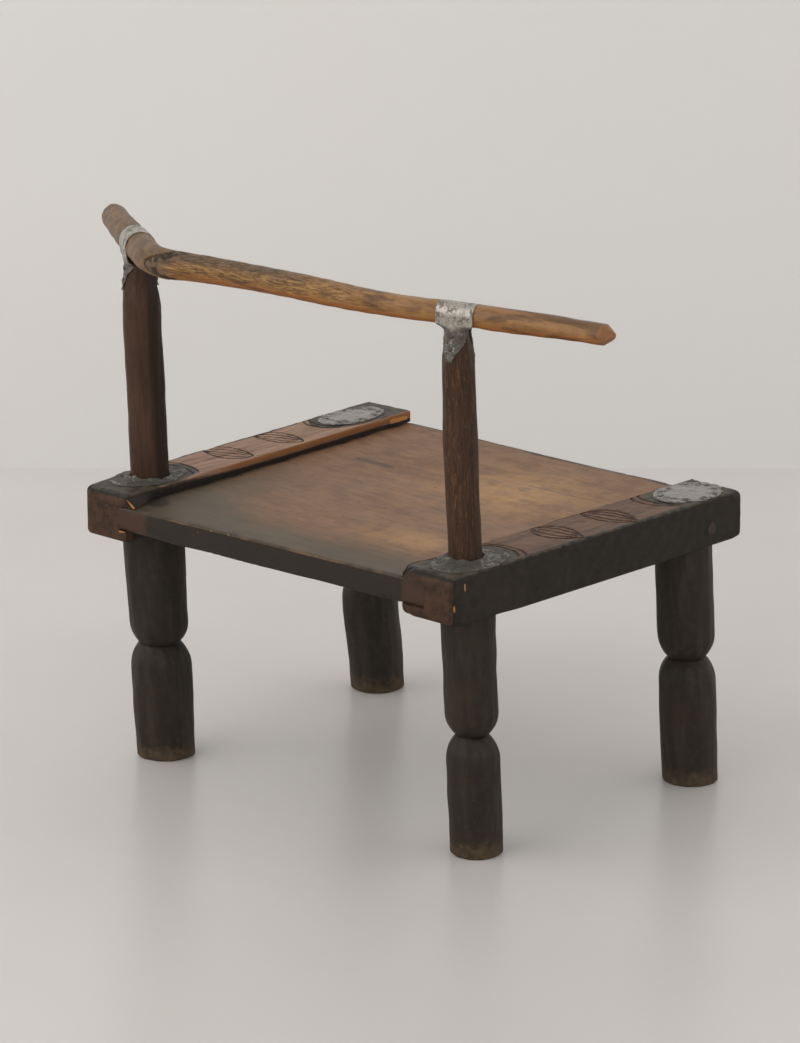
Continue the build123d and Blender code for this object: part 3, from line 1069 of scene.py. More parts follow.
@dataclass(frozen=True)
class Cut:
    """Curved line cut into a rail's top, from one end to the other.

    Attributes:
        start: its first end, in plan.
        end: its other end.
        bulge: how far it bows out from the straight line, to the left of it.
        lean: below 1 the widest place lies nearer the start, above 1 nearer the end.
        span: shares of the way at which it begins and stops.
        width: how wide it is, against the other cuts.
    """

    start: Plan
    end: Plan
    bulge: float
    lean: float = 1.0
    span: Plan = (0.0, 1.0)
    width: float = 1.0

    def line(self, steps: int = 22) -> Array:
        """Points of the cut.

        Formula: start + s * chord + bulge * (1 - |2 s^lean - 1|^2.3)^0.8 * the chord's normal.
        """
        start, end = np.array(self.start), np.array(self.end)
        s = 0.5 - 0.5 * np.cos(np.linspace(0, pi, steps))
        s = s[(s >= self.span[0]) & (s <= self.span[1])]
        chord = end - start
        normal = np.array([-chord[1], chord[0]]) / np.linalg.norm(chord)
        bow = self.bulge * (1 - np.abs(2 * s**self.lean - 1) ** 2.3) ** 0.8
        return start + s[:, None] * chord + bow[:, None] * normal


def leaf(stalk: Plan, tip: Plan, ribs: tuple[tuple[float, ...], ...]) -> list[Cut]:
    """Leaf cut across a rail's top: lines that share its stalk and its tip.

    Args:
        stalk: its outer end, in plan.
        tip: its inner end.
        ribs: (bulge, lean, first share, last share, width) of each line.

    Returns:
        The leaf's lines.
    """
    return [Cut(stalk, tip, bulge, lean, (first, last), width)
            for bulge, lean, first, last, width in ribs]


@dataclass(frozen=True)
class Scar:
    """Patch of bare wood along a short line from start to end, this wide."""

    start: Point
    end: Point
    width: float

    def mask(self, points: Array) -> Array:
        """1 on the line and 0 a width away from it."""
        gap = capsule(points, np.array(self.start), np.array(self.end))
        return step(gap, self.width, self.width * 0.25)


# ---- Seat board ----


@dataclass
class Board(Piece):
    """Seat plank between the rails, dished by use, with worn edges.

    Attributes:
        holes: (x, y, radius) of each joint that a tongue is notched round.
        scars: bare chips.
        honey: the polished patch as (x, y, reach along x, reach along y).
        pale: a fainter one.
        streak: ends of a dark stain.
    """

    seat: Seat
    holes: tuple[Point, ...]
    scars: tuple[Scar, ...]
    front_places: tuple[float, ...] = (-150, -116, -50, 0, 69, 150)
    front_wear: tuple[float, ...] = (0.3, 1.0, -0.9, -0.9, 0.6, 0.0)
    edge_round: float = 1.7
    dish: float = 0.9
    honey: Colour = (-50.0, -66.0, 74.0, 62.0)
    pale: Colour = (-88.0, 92.0, 60.0, 26.0)
    streak: tuple[Plan, Plan] = ((115.0, -60.0), (80.0, -58.0))
    node = "seat_board"
    slot = Slot.SEAT
    sharp = 38.0

    def tongue_end(self, y: Array, side: str) -> Array:
        """Distance from the outer face of a rail to the end of the board's tongue at y.

        Formula: the groove's depth, or the edge of the hole in front of it where that is deeper.
        """
        inset = np.full(len(y), self.seat.tongue_inset(side))
        for x, middle, radius in self.holes:
            if x * OUTWARD[side] > 0:
                centre = self.seat.outer(x, middle) - abs(x)
                chord = np.sqrt(np.maximum((radius + 0.4) ** 2 - (y - middle) ** 2, 0))
                inset = np.where(chord > 0, np.maximum(inset, centre + chord), inset)
        return inset

    def shape(self) -> Surface:
        """The plank's skin, from a box over (share of the width, share of the depth, z)."""
        low, high = self.seat.board_low, self.seat.board_top
        surface = box_skin(samples((-1, 1), (-0.97, 0.006), (0.97, 0.0118), (1, 0.006)),
                           samples((-1, 1), (-0.975, 0.0035), (0.975, 0.0118), (1, 0.0035)),
                           samples((low, 1), (low + 3, 0.75), (high - 3, 2.6), (high, 0.5)))
        raw = surface.points.copy()
        front, rear = self.edges(raw[:, 0] * 165)
        y = -front + (raw[:, 1] + 1) / 2 * (front + rear)
        insets = [self.tongue_end(y, side) for side in OUTWARD]
        reach = self.seat.outer(raw[:, 0], y) - np.where(raw[:, 0] > 0, *insets)
        points = np.column_stack([raw[:, 0] * reach, y, raw[:, 2]])
        points[:, 1:] = self.worn_edges(points)
        points[:, 2] += self.wear(points, raw)
        return Surface(points, surface.faces, points[:, [1, 2, 0]], self.masks(points, raw))

    def edges(self, x: Array) -> tuple[Array, Array]:
        """Distance from the middle to the front edge, which is worn hollow, and the rear edge."""
        worn = np.interp(x, self.front_places, self.front_wear)
        return self.seat.board_end("front", x) + worn, self.seat.board_end("rear", x)

    def worn_edges(self, points: Array) -> Array:
        """(y, z) with the front and rear edges rounded, more where the wood is nicked."""
        nicks = np.clip(ripple(points * (1, 0, 0), 9, 31) - 1.1, 0, 1) * 1.4
        radius = self.edge_round + 0.35 * ripple(points * (1, 0, 0), 60, 30) + nicks
        radius += 2.5 * step(points[:, 0], 100, 125) * (points[:, 1] > 0)
        front, rear = self.edges(points[:, 0])
        far = np.full(len(points), FAR)
        low = np.column_stack([-far, -front, far * 0 + self.seat.board_low])
        high = np.column_stack([far, rear, far * 0 + self.seat.board_top])
        return round_edges(points, low, high, np.clip(radius, 0.7, 4.2))[:, 1:]

    def wear(self, points: Array, raw: Array) -> Array:
        """Change in height of the top: a shallow dish and the marks of the adze.

        Formula: less a bell over the middle, plus two smooth fields drawn out along the grain.
        Nothing changes within the rails' grooves.
        """
        inner = self.seat.outer(points[:, 0], points[:, 1]) - self.seat.rail_width
        free = step(inner - np.abs(points[:, 0]), 0.0, 10.0)
        bell = np.exp(-((points[:, 0] / 120) ** 2) - ((points[:, 1] + 20) / 110) ** 2)
        marks = 0.16 * ripple(points, 34, 5, (4, 1, 1)) + 0.08 * ripple(points, 12, 6, (5, 1, 1))
        top = raw[:, 2] >= self.seat.board_top - TINY
        low = raw[:, 2] <= self.seat.board_low + TINY
        return np.where(top, free * (np.minimum(marks, 0.2) - self.dish * bell), 0) + np.where(
            low, 0.2 * ripple(points, 30, 8, (4, 1, 1)) * free - 0.4 * free, 0)

    def masks(self, points: Array, raw: Array) -> dict[str, Array]:
        """Where the plank is honey, grey, sooty, stained, chipped or bare."""
        x, y, z = points.T
        patches = [strength * np.exp(-(((x - cx) / sx) ** 2) - ((y - cy) / sy) ** 2)
                   for strength, (cx, cy, sx, sy) in ((1.0, self.honey), (0.75, self.pale))]
        front, rear = self.edges(x)
        front, rear = front + y, rear - y
        top = step(z, self.seat.board_top - 2.6, self.seat.board_top - 0.4)
        inner = self.seat.outer(x, y) - self.seat.rail_width
        left, right = inner - x, inner + x
        streak = capsule(points[:, :2], *np.array(self.streak))
        return {
            "rub": np.clip(sum(patches), 0, 1) * top,
            "grey": np.clip(0.85 * step(rear, 95, 6) + 0.75 * step(left, 125, 5)
                            * step(y, -90, 110), 0, 1) * top,
            "sawn": (1 - top) * step(rear, 4, 2) * most(step(left, 34, 14), step(right, 8, 0)),
            # Besides the edges and underside, this darkens a band along the left rail's lip, the rear
            # left and the rear right corner.
            "soot": most(1 - top, step(rear, 16, 0) * 0.5, step(front, 14, 1) * 0.7,
                         step(left, 12, 0) * 0.62, step(left, 75, 0) * step(y, 40, 170) * 0.6,
                         step(rear, 60, 0) * step(right, 60, 0) * 0.6,
                         (raw[:, 2] <= self.seat.board_low) * 1.0),
            "stain": step(streak, 9, 2) * 0.8,
            "arris": step(np.minimum(rear, front), 2.5, 0.6)
            * step(z, self.seat.board_top - 3, self.seat.board_top - 1),
            "bare": most(*(scar.mask(points) for scar in self.scars)),
        }


# ---- Side rails ----


@dataclass
class Rail(Piece):
    """Grooved side rail with carved leaves and arcs on its top.

    Attributes:
        side: "left" or "right".
        plates: its rear and its front plate.
        cuts: the lines cut into its top.
        rounds: radius of its upright corners: outer rear, outer front, lip rear, lip front.
        end_rounds: radius of the top edge of its rear and front ends.
        sole_rounds: radius of the bottom edge of its rear and front ends.
        worn: (added radius, length) of its outer top edge, worn down towards the rear and front.
        hole: (x, y, radius) of the post's hole in its top.
        scars: bare chips.
        rubbed: how strongly the inner edge is rubbed to orange, and how dark the painted shadow at the
            foot of the inner lip is.
        flare: how far its lips stray inwards at their rear corner, across and along.
        toe: how far the upper lip's foot stands out at its rear end, across and along.
        bun: radius added to all edges of its lips at their rear corner.
        sag: how far its underside bows down between the legs.
    """

    seat: Seat
    side: str
    plates: tuple[Plate, ...]
    cuts: tuple[Cut, ...]
    rounds: Colour
    end_rounds: Plan
    sole_rounds: Plan
    worn: tuple[Plan, Plan]
    hole: Point
    scars: tuple[Scar, ...]
    rubbed: float
    flare: Plan = (0.0, 0.0)
    toe: Plan = (0.0, 0.0)
    bun: float = 0.0
    sag: float = 0.0
    cut_width: float = 1.35
    cut_depth: float = 1.0
    edge_round: float = 2.3
    slot = Slot.RAIL
    sharp = 46.0

    @property
    def node(self) -> str:
        """The CAD node's name."""
        return f"side_rail_{self.side}"

    @property
    def rear(self) -> float:
        """Distance from the seat's middle to the rail's rear end."""
        return self.seat.ends[f"rear_{self.side}"]

    @property
    def front(self) -> float:
        """Distance from the seat's middle to the rail's front end."""
        return self.seat.ends[f"front_{self.side}"]

    def sample_places(self) -> tuple[Array, Array, Array]:
        """Sample places across, along and up the rail, closer where it is carved."""
        seat, fine, coarse, gap = self.seat, 0.46, 1.7, 0.12
        spans = [(-self.front, 1.0), (-self.front + 9, 0.8)]
        for low, high in ((-111, -80), (-55, -14), (10, 46), (78, 106)):
            spans += [(low, coarse), (high, fine)]
        groove = seat.board_top + seat.play
        up = samples((seat.underside, 1), (seat.underside + 3, 0.6), (seat.board_low - gap, 3.0),
                     (seat.board_low + gap, 1), (groove - gap, 5), (groove + gap, 1),
                     (seat.top - 3.5, 2.1), (seat.top, 0.5))
        along = samples(*spans, (self.rear - 11, coarse), (self.rear, 0.8))
        return samples((0, 1), (seat.rail_width, 0.61)), along, up

    def shape(self) -> Surface:
        """The rail's skin, from a box over (distance in from its outer face, y, z)."""
        seat = self.seat
        surface = box_skin(*self.sample_places())
        raw = surface.points.copy()
        points = self.soften(raw)
        groove = (raw[:, 2] > seat.board_low) & (raw[:, 2] < seat.board_top + seat.play)
        points[:, 0] *= np.where(groove, 1 - seat.grooves[self.side] / seat.rail_width, 1.0)
        points = self.place(self.round_plan(points))
        top = raw[:, 2] >= seat.top - TINY
        dip = self.carving(points) * top
        points[:, 2] -= dip * self.cut_depth
        points += self.unevenness(points, raw)
        hole = step(gap_to(points, self.hole[:2]), self.hole[2] + 0.9, self.hole[2] + 0.3)
        points[:, 2] -= np.where(top, 9 * hole, 0)
        return Surface(points, surface.faces, points[:, [0, 2, 1]], self.masks(points, raw, dip))

    def soften(self, raw: Array) -> Array:
        """Round the long edges, and then the end edges, more where the wood is worn."""
        seat = self.seat
        along = raw * (0, 1, 0) + raw * (0.2, 0, 0)
        upper = step(raw[:, 2], seat.underside + 15, seat.top - 14)
        inner = step(raw[:, 0], seat.rail_width - 12, seat.rail_width - 4)
        uneven = (0.35 * ripple(along, 48, 12) + 0.2 * ripple(along, 13, 14)) * upper
        gaps = (self.rear - raw[:, 1], raw[:, 1] + self.front)
        worn = sum(extra * step(gap, length, 0.3 * length)
                   for gap, (extra, length) in zip(gaps, self.worn))
        soles = np.where(raw[:, 1] > 0, *self.sole_rounds)
        low = 1.2 + (soles - 1.2) * step(np.minimum(*gaps), 14, 4) * (1 - inner)
        side = low + upper * (self.edge_round - low - 0.9 * inner + worn * (1 - inner)) + uneven
        ends = np.where(raw[:, 1] > 0, *self.end_rounds)
        end = soles + upper * (ends - soles) * (1 - 0.45 * inner) + uneven
        bun = self.bun * inner * step(gaps[0], 20, 4) * (0.6 + 0.4 * upper)
        side, end = side + bun, end + 0.6 * bun
        points = round_edges(raw, np.array([0, -FAR, seat.underside]),
                             np.array([seat.rail_width, FAR, seat.top]), np.clip(side, 0.8, 10.5))
        return round_edges(points, np.array([-FAR, -self.front, seat.underside]),
                           np.array([FAR, self.rear, seat.top]), np.clip(end, 0.8, 11.0))

    def round_plan(self, points: Array) -> Array:
        """Round the rail's upright corners."""
        width = self.seat.rail_width
        corners = ((0, self.rear, 1, -1), (0, -self.front, 1, 1), (width, self.rear, -1, -1),
                   (width, -self.front, -1, 1))
        for (x, y, *inward), radius in zip(corners, self.rounds):
            points = round_corner(points, (x, y), inward, radius)
        return points

    def place(self, points: Array) -> Array:
        """Turn distances in from the outer face into x."""
        sign, rear = OUTWARD[self.side], self.rear
        inner = step(points[:, 0], self.seat.rail_width - 16, self.seat.rail_width)
        stray = inner * step(points[:, 1], rear - 34, rear - 4)
        foot = step(points[:, 2], self.seat.top - 2, self.seat.board_top + 1)
        foot *= (points[:, 2] > self.seat.board_low + 1) * inner
        foot *= step(points[:, 1], rear - 34, rear - 3)
        y = points[:, 1] + self.flare[1] * stray + self.toe[1] * foot
        inset = points[:, 0] + self.flare[0] * stray + self.toe[0] * foot
        return np.column_stack([sign * (self.seat.outer(sign, y) - inset), y, points[:, 2]])

    def carving(self, points: Array) -> Array:
        """How deep the cuts are, as a share of the full depth.

        Formula: 1 - (gap / width)^1.5 within a cut's half width, which wavers along the rail.
        """
        width = self.cut_width * (1 + 0.14 * ripple(points, 11, 40))
        depth = np.zeros(len(points))
        for cut in self.cuts:
            line, reach = cut.line(), 2 * self.cut_width
            near = ((points[:, :2] > line.min(axis=0) - reach)
                    & (points[:, :2] < line.max(axis=0) + reach)).all(axis=1)
            gap = path_distance(points[near, :2], line) / (width[near] * cut.width)
            depth[near] = np.maximum(depth[near], 1 - np.clip(gap, 0, 1) ** 1.5)
        return depth

    def unevenness(self, points: Array, raw: Array) -> Array:
        """Small hand-cut unevenness of each side, square to it and never outwards at the ends."""
        seat = self.seat
        soft = 0.22 * ripple(points, 42, 21, (1, 3, 1)) + 0.1 * ripple(points, 11, 22)
        ends = (raw[:, 1] >= self.rear - TINY) | (raw[:, 1] <= TINY - self.front)
        top = np.where(raw[:, 2] >= seat.top - TINY, np.minimum(soft, 0.35) - 0.3, 0)
        bottom = raw[:, 2] <= seat.underside + TINY
        return np.column_stack([
            np.where(raw[:, 0] <= TINY, OUTWARD[self.side] * (soft - 0.25), 0),
            np.where(ends, -np.sign(raw[:, 1]) * np.abs(soft) * 1.3, 0),
            top - self.sag * bottom * step(np.abs(points[:, 1]), 125, 95)])

    def masks(self, points: Array, raw: Array, dip: Array) -> dict[str, Array]:
        """Where the rail is sooty, sawn, rubbed, carved, chipped or bare, its top faces, and the painted
        shadow at the foot of its inner lip.
        """
        seat = self.seat
        x, y, z = points.T
        inset = seat.outer(OUTWARD[self.side], y) - np.abs(x)
        top = step(z, seat.top - 2.2, seat.top - 0.9)
        corner = step(np.min([plate.spread(points) for plate in self.plates], axis=0), 1.42, 1.12)
        end = np.where(y > 0, self.rear - y, self.front + y)
        soot = most(corner, step(end, 52, 40), step(inset, 7.5, 1.5) * 0.95)
        soot = np.where(top > 0, top * soot + (1 - top), 1.0)
        inner = step(inset, seat.rail_width - 3.5, seat.rail_width - 0.4)
        lip = step(z, seat.top - 7.5, seat.top - 3.5)
        rub = inner * lip * (step(y, 130, -20) * 0.75 + 0.25) * self.rubbed
        upper = step(z, seat.board_top - 2, seat.board_top + 2)
        grooved = (raw[:, 2] > seat.underside + 1) & (raw[:, 2] < seat.board_top + 2)
        nose = step(raw[:, 1], self.rear - 9, self.rear - 6) * (raw[:, 0] > TINY) * grooved
        rear = most(step(raw[:, 1], self.rear - 2.2, self.rear - 0.4), nose)
        arris = step(inset, 2.5, 0.8) * step(z, seat.top - 4, seat.top - 1)
        return {
            "soot": np.clip(soot - rub * 1.3, 0, 1),
            # Top faces, whose black is painted lighter: dust, and painted sheen.
            "upper": top,
            "sawn": rear * step(z, seat.top, seat.top - 7),
            "rub": rub,
            # Painted shadow: the inner lip's face just above the board.
            "hollow": inner * upper * (1 - lip) * 0.7 * self.rubbed,
            "carve": dip,
            "arris": most(arris, rear * 0.5),
            "bare": most(*(scar.mask(points) for scar in self.scars)),
        }


# ---- Legs, posts and pegs ----


@dataclass(frozen=True)
class Waist:
    """How a leg's two barrels close in on its waist."""

    height: float
    diameter: float
    barrel: float
    below: float = 22.0
    above: float = 21.0
    power: float = 2.4

    def diameter_at(self, z: Array) -> Array:
        """Diameter at each height.

        Formula: the waist, plus (1 - (1 - t)^2.4) of the way to the barrel, where t is the
        distance from the waist over the shoulder's height, at most 1.
        """
        reach = np.where(z < self.height, self.below, self.above)
        t = np.clip(np.abs(z - self.height) / reach, 0, 1)
        return self.diameter + (self.barrel - self.diameter) * (1 - (1 - t) ** self.power)


@dataclass(frozen=True)
class Flank:
    """Sizes of the legs, the post and the strap on one side of the chair.

    Attributes:
        side: "left" or "right".
        shoulders: middle of the rear and the front leg under the rail, in plan.
        waists: waists of the rear and the front leg.
        top: where the post's line meets the bar's, in plan.
        turn: degrees that the bar turns forwards out past the post.
        post: (height, diameter) of the post, from the rail up.
        bow: how far the post's middle strays sideways, in plan.
        shaded: how dark the painted shade on the post's front right is, 0 to 1.
        bar: the bar's radius over the post.
        tails: (length, width, drift) of the strap's tail on each hand, to the left and right of
            the bar's way out. The drift is how far its tip strays out along the bar.
        band: width of the strap over the bar.
        slide: how far the band lies out along the bar from the post.
    """

    side: str
    shoulders: tuple[Plan, Plan]
    waists: tuple[Waist, Waist]
    top: Plan
    turn: float
    post: tuple[Plan, ...]
    bow: Plan
    shaded: float
    bar: float
    tails: tuple[Point, Point]
    band: float
    slide: float
    bar_height: float = BAR_HEIGHT

    @property
    def head(self) -> Array:
        """Where the post's line meets the bar's."""
        return np.array([*self.top, self.bar_height])

    @property
    def along(self) -> Array:
        """Level unit vector of the bar, out past the post."""
        angle = radians(self.turn)
        return np.array([OUTWARD[self.side] * cos(angle), -sin(angle), 0.0])

    @property
    def across(self) -> Array:
        """Level unit vector square to the bar."""
        return np.array([-self.along[1], self.along[0], 0.0])

    def post_radius(self, z: Array) -> Array:
        """Radius of the post at each height."""
        return np.interp(z, *np.array(self.post).T) / 2

    def lean(self, seat: Seat) -> Array:
        """How far the post's line goes for each millimetre up."""
        offset = self.head[:2] - np.array(self.shoulders[0])
        return np.array([*offset / (self.bar_height - seat.underside), 1.0])

    def hole(self, seat: Seat) -> Point:
        """Plan and radius of the post where it leaves the rail's top."""
        share = (seat.top - seat.underside) / (self.bar_height - seat.underside)
        x, y = np.array(self.shoulders[0]) * (1 - share) + self.head[:2] * share
        return (x, y, self.post[0][1] / 2)


@dataclass
class Leg(Piece):
    """Waisted leg, cut to faint facets, from the floor to the underside of its rail.

    Attributes:
        node: the CAD node's name.
        shoulder: its middle under the rail, in plan.
        waist: its waist.
        sides: how many faint facets run down it.
    """

    seat: Seat
    node: str
    shoulder: Plan
    waist: Waist
    sides: int = 11
    facets: float = 0.35
    taper: float = 1.5
    sole_round: float = 2.2
    around: int = 96
    slot = Slot.LEG
    sharp = 38.0

    @property
    def seed(self) -> int:
        """Number that fixes this leg's unevenness."""
        return sum(map(ord, self.node))

    def rings(self) -> tuple[Array, Array]:
        """Middle of each ring and its radii, from a pole at the sole, closer at the waist."""
        waist, top = self.waist.height, self.seat.underside
        z = samples((0, 1), (self.sole_round, 0.37), (waist - 24, 3.2), (waist - 3, 1.4),
                    (waist + 3, 0.5), (waist + 24, 1.4), (top, 3.2))
        share = (z / top)[:, None]
        foot = np.array(self.seat.sole(self.node))
        centres = np.column_stack([foot * (1 - share) + np.array(self.shoulder) * share, z])
        radius = self.waist.diameter_at(z) / 2 - self.taper / 2 * step(z, 45, 0)
        sole = np.clip(1 - z / self.sole_round, 0, 1)
        radius -= self.sole_round * (1 - np.sqrt(1 - sole**2))
        cut = facet(turns(self.around), self.sides, self.seed % 7)
        wide = step(radius, self.waist.diameter / 2 + 1.5, self.waist.barrel / 2 - 1)[:, None]
        radii = radius[:, None] * np.ones(self.around) * (1 + self.facets * wide * (cut - 1))
        return np.vstack([centres[:1], centres]), np.vstack([radii[:1] * 0, radii])

    def uneven(self, surface: Surface) -> Surface:
        """Swell and dent the leg a little, drawn out along its grain, except at its sole."""
        flow = surface.flow
        coarse, fine = (ripple(flow, size, self.seed + n, (1, 1, 3)) for n, size in ((0, 30), (1, 9)))
        flat = np.hypot(flow[:, 0], flow[:, 1])
        outward = flow[:, :2] / np.maximum(flat, TINY)[:, None]
        soft = (0.32 * coarse + 0.12 * fine) * step(flat, 2, 8)
        surface.points[:, :2] += outward * soft[:, None]
        return surface

    def masks(self, points: Array) -> dict[str, Array]:
        """Where the leg is dusty, and the dark crease of its waist."""
        z = points[:, 2]
        away = np.abs(z - self.waist.height)
        dust = step(z, 34, 0) * 0.75 + 0.25 * step(away, 14, 3)
        return {"dust": np.where(z > self.seat.underside, 0, dust),
                "crease": step(away, 1.6, 0.2) * 0.8}

    def shape(self) -> Surface:
        """The leg with its tenon up to just under the plate."""
        centres, radii = self.rings()
        tenon, top = 13.5, self.seat.top - 0.6
        lean = (centres[-1] - centres[0]) / self.seat.underside
        rise = np.array([0.0, 0.0, 1.0, 1.0]) * (top - self.seat.underside)
        wide = np.array([radii[-1, 0] * 0.8, tenon, tenon, 0.0])[:, None]
        return self.skin(np.vstack([centres, centres[-1] + rise[:, None] * lean]),
                         np.vstack([radii, wide * np.ones(self.around)]))

    def skin(self, centres: Array, radii: Array) -> Surface:
        """Carry the rings along their middles, upright, and add the unevenness and masks."""
        surface = self.uneven(tube_skin(centres, radii, (1.0, 0, 0), (0, 1.0, 0)))
        surface.masks = self.masks(surface.points)
        return surface.weld()


@dataclass
class Stile(Leg):
    """Rear leg that runs on through the rail as a post, saddled for the back bar.

    Attributes:
        flank: the sizes of its side.
        head_sides: how many facets the post's head is cut to.
        play: how much wider the saddle is than the bar.
        low: how far below the bar's middle the saddle's lips stand, less than its radius.
    """

    flank: Flank | None = None
    head_sides: int = 8
    play: float = 0.2
    low: float = 4.0

    def axis(self, z: Array) -> Array:
        """Middle of the post at each height: a straight line with a shallow bow."""
        low, high = self.seat.underside, self.flank.bar_height
        share = ((z - low) / (high - low))[:, None]
        plan = np.array(self.shoulder) * (1 - share) + self.flank.head[:2] * share
        return np.column_stack([plan + 4 * share * (1 - share) * np.array(self.flank.bow), z])

    def shape(self) -> Surface:
        """The leg, the post and its saddle in one skin."""
        centres, radii = self.rings()
        top = self.flank.bar_height - self.flank.bar + self.low
        z = samples((self.seat.underside, 1), (self.seat.top - 2, 9), (self.seat.top + 6, 1.0),
                    (top - 46, 3.0), (top, 1.0))
        cut = facet(turns(self.around), self.head_sides, 0.3 + self.seed % 3)
        weight = 0.22 + 0.78 * step(z, top - 42, top - 30)
        rows = self.flank.post_radius(z)[:, None] * (1 + weight[:, None] * (cut - 1))
        crown = np.linspace(1, 0, 14)[1:, None] * rows[-1]
        tip = np.tile(self.axis(z[-1:]), (len(crown), 1))
        surface = self.skin(np.vstack([centres, self.axis(z), tip]),
                            np.vstack([radii, rows, crown]))
        return self.cut_saddle(surface, top)

    def cut_saddle(self, surface: Surface, top: float) -> Surface:
        """Lower the post's head to the round of the bar.

        Formula: z is at most the bar's height less the root of (radius^2 - gap^2), where gap is
        the distance in plan from the bar's line.
        """
        flank, z = self.flank, surface.points[:, 2]
        gap = (surface.points - flank.head) @ flank.across
        drop = np.sqrt(np.maximum((flank.bar + self.play) ** 2 - gap**2, 0))
        limit = flank.bar_height - np.maximum(drop, flank.bar - self.low)
        surface.points[:, 2] = np.where(z > top - 8, np.minimum(z, limit), z)
        return surface

    def masks(self, points: Array) -> dict[str, Array]:
        """The leg's masks, where the post begins, and the painted shade on the post's front right."""
        above = step(points[:, 2], self.seat.underside + 2, self.seat.underside + 20)
        # Painted shade: the post's side towards (-0.736, -0.677) in plan is marked for darkening.
        away = (points - self.axis(points[:, 2]))[:, :2] @ np.array([-0.736, -0.677])
        return {**super().masks(points), "post": above,
                "shade": step(away, 2.5, 9.0) * self.flank.shaded}


@dataclass(frozen=True)
class Peg(Piece):
    """Round peg driven into a rail's outer face, into the front leg's tenon."""

    seat: Seat
    side: str
    length: float = 28.0
    slot = Slot.PEG
    sharp = 38.0

    @property
    def node(self) -> str:
        """The CAD node's name."""
        return f"leg_peg_{self.side}"

    def shape(self) -> Surface:
        """The peg with a slightly domed end that stands just proud of the rail.

        Formula: rings round the node's own axis, whose radius falls from the barrel to the end
        as a quarter of an ellipse.
        """
        low, high = (np.array(corner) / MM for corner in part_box(self.node))
        outward = OUTWARD[self.side]
        _, y, z = (low + high) / 2 - np.array([*self.seat.middle, 0])
        tip = self.seat.outer(outward, y) + 0.35
        reach = np.array([self.length, self.length, 1.2, 0.6, 0.25, 0.06, 0.0, 0.0])
        size = np.array([0.0, 1.0, 1.0, 0.97, 0.9, 0.8, 0.6, 0.0]) * (high[2] - low[2]) / 2
        centres = np.column_stack([outward * (tip - reach), reach * 0 + y, reach * 0 + z])
        radii = size[:, None] * (1 + 0.03 * wave(turns(36), 3, (2, 7)))
        return tube_skin(centres, radii, (0, 1.0, 0), (0, 0, 1.0)).weld()


# ---- Back bar and straps ----


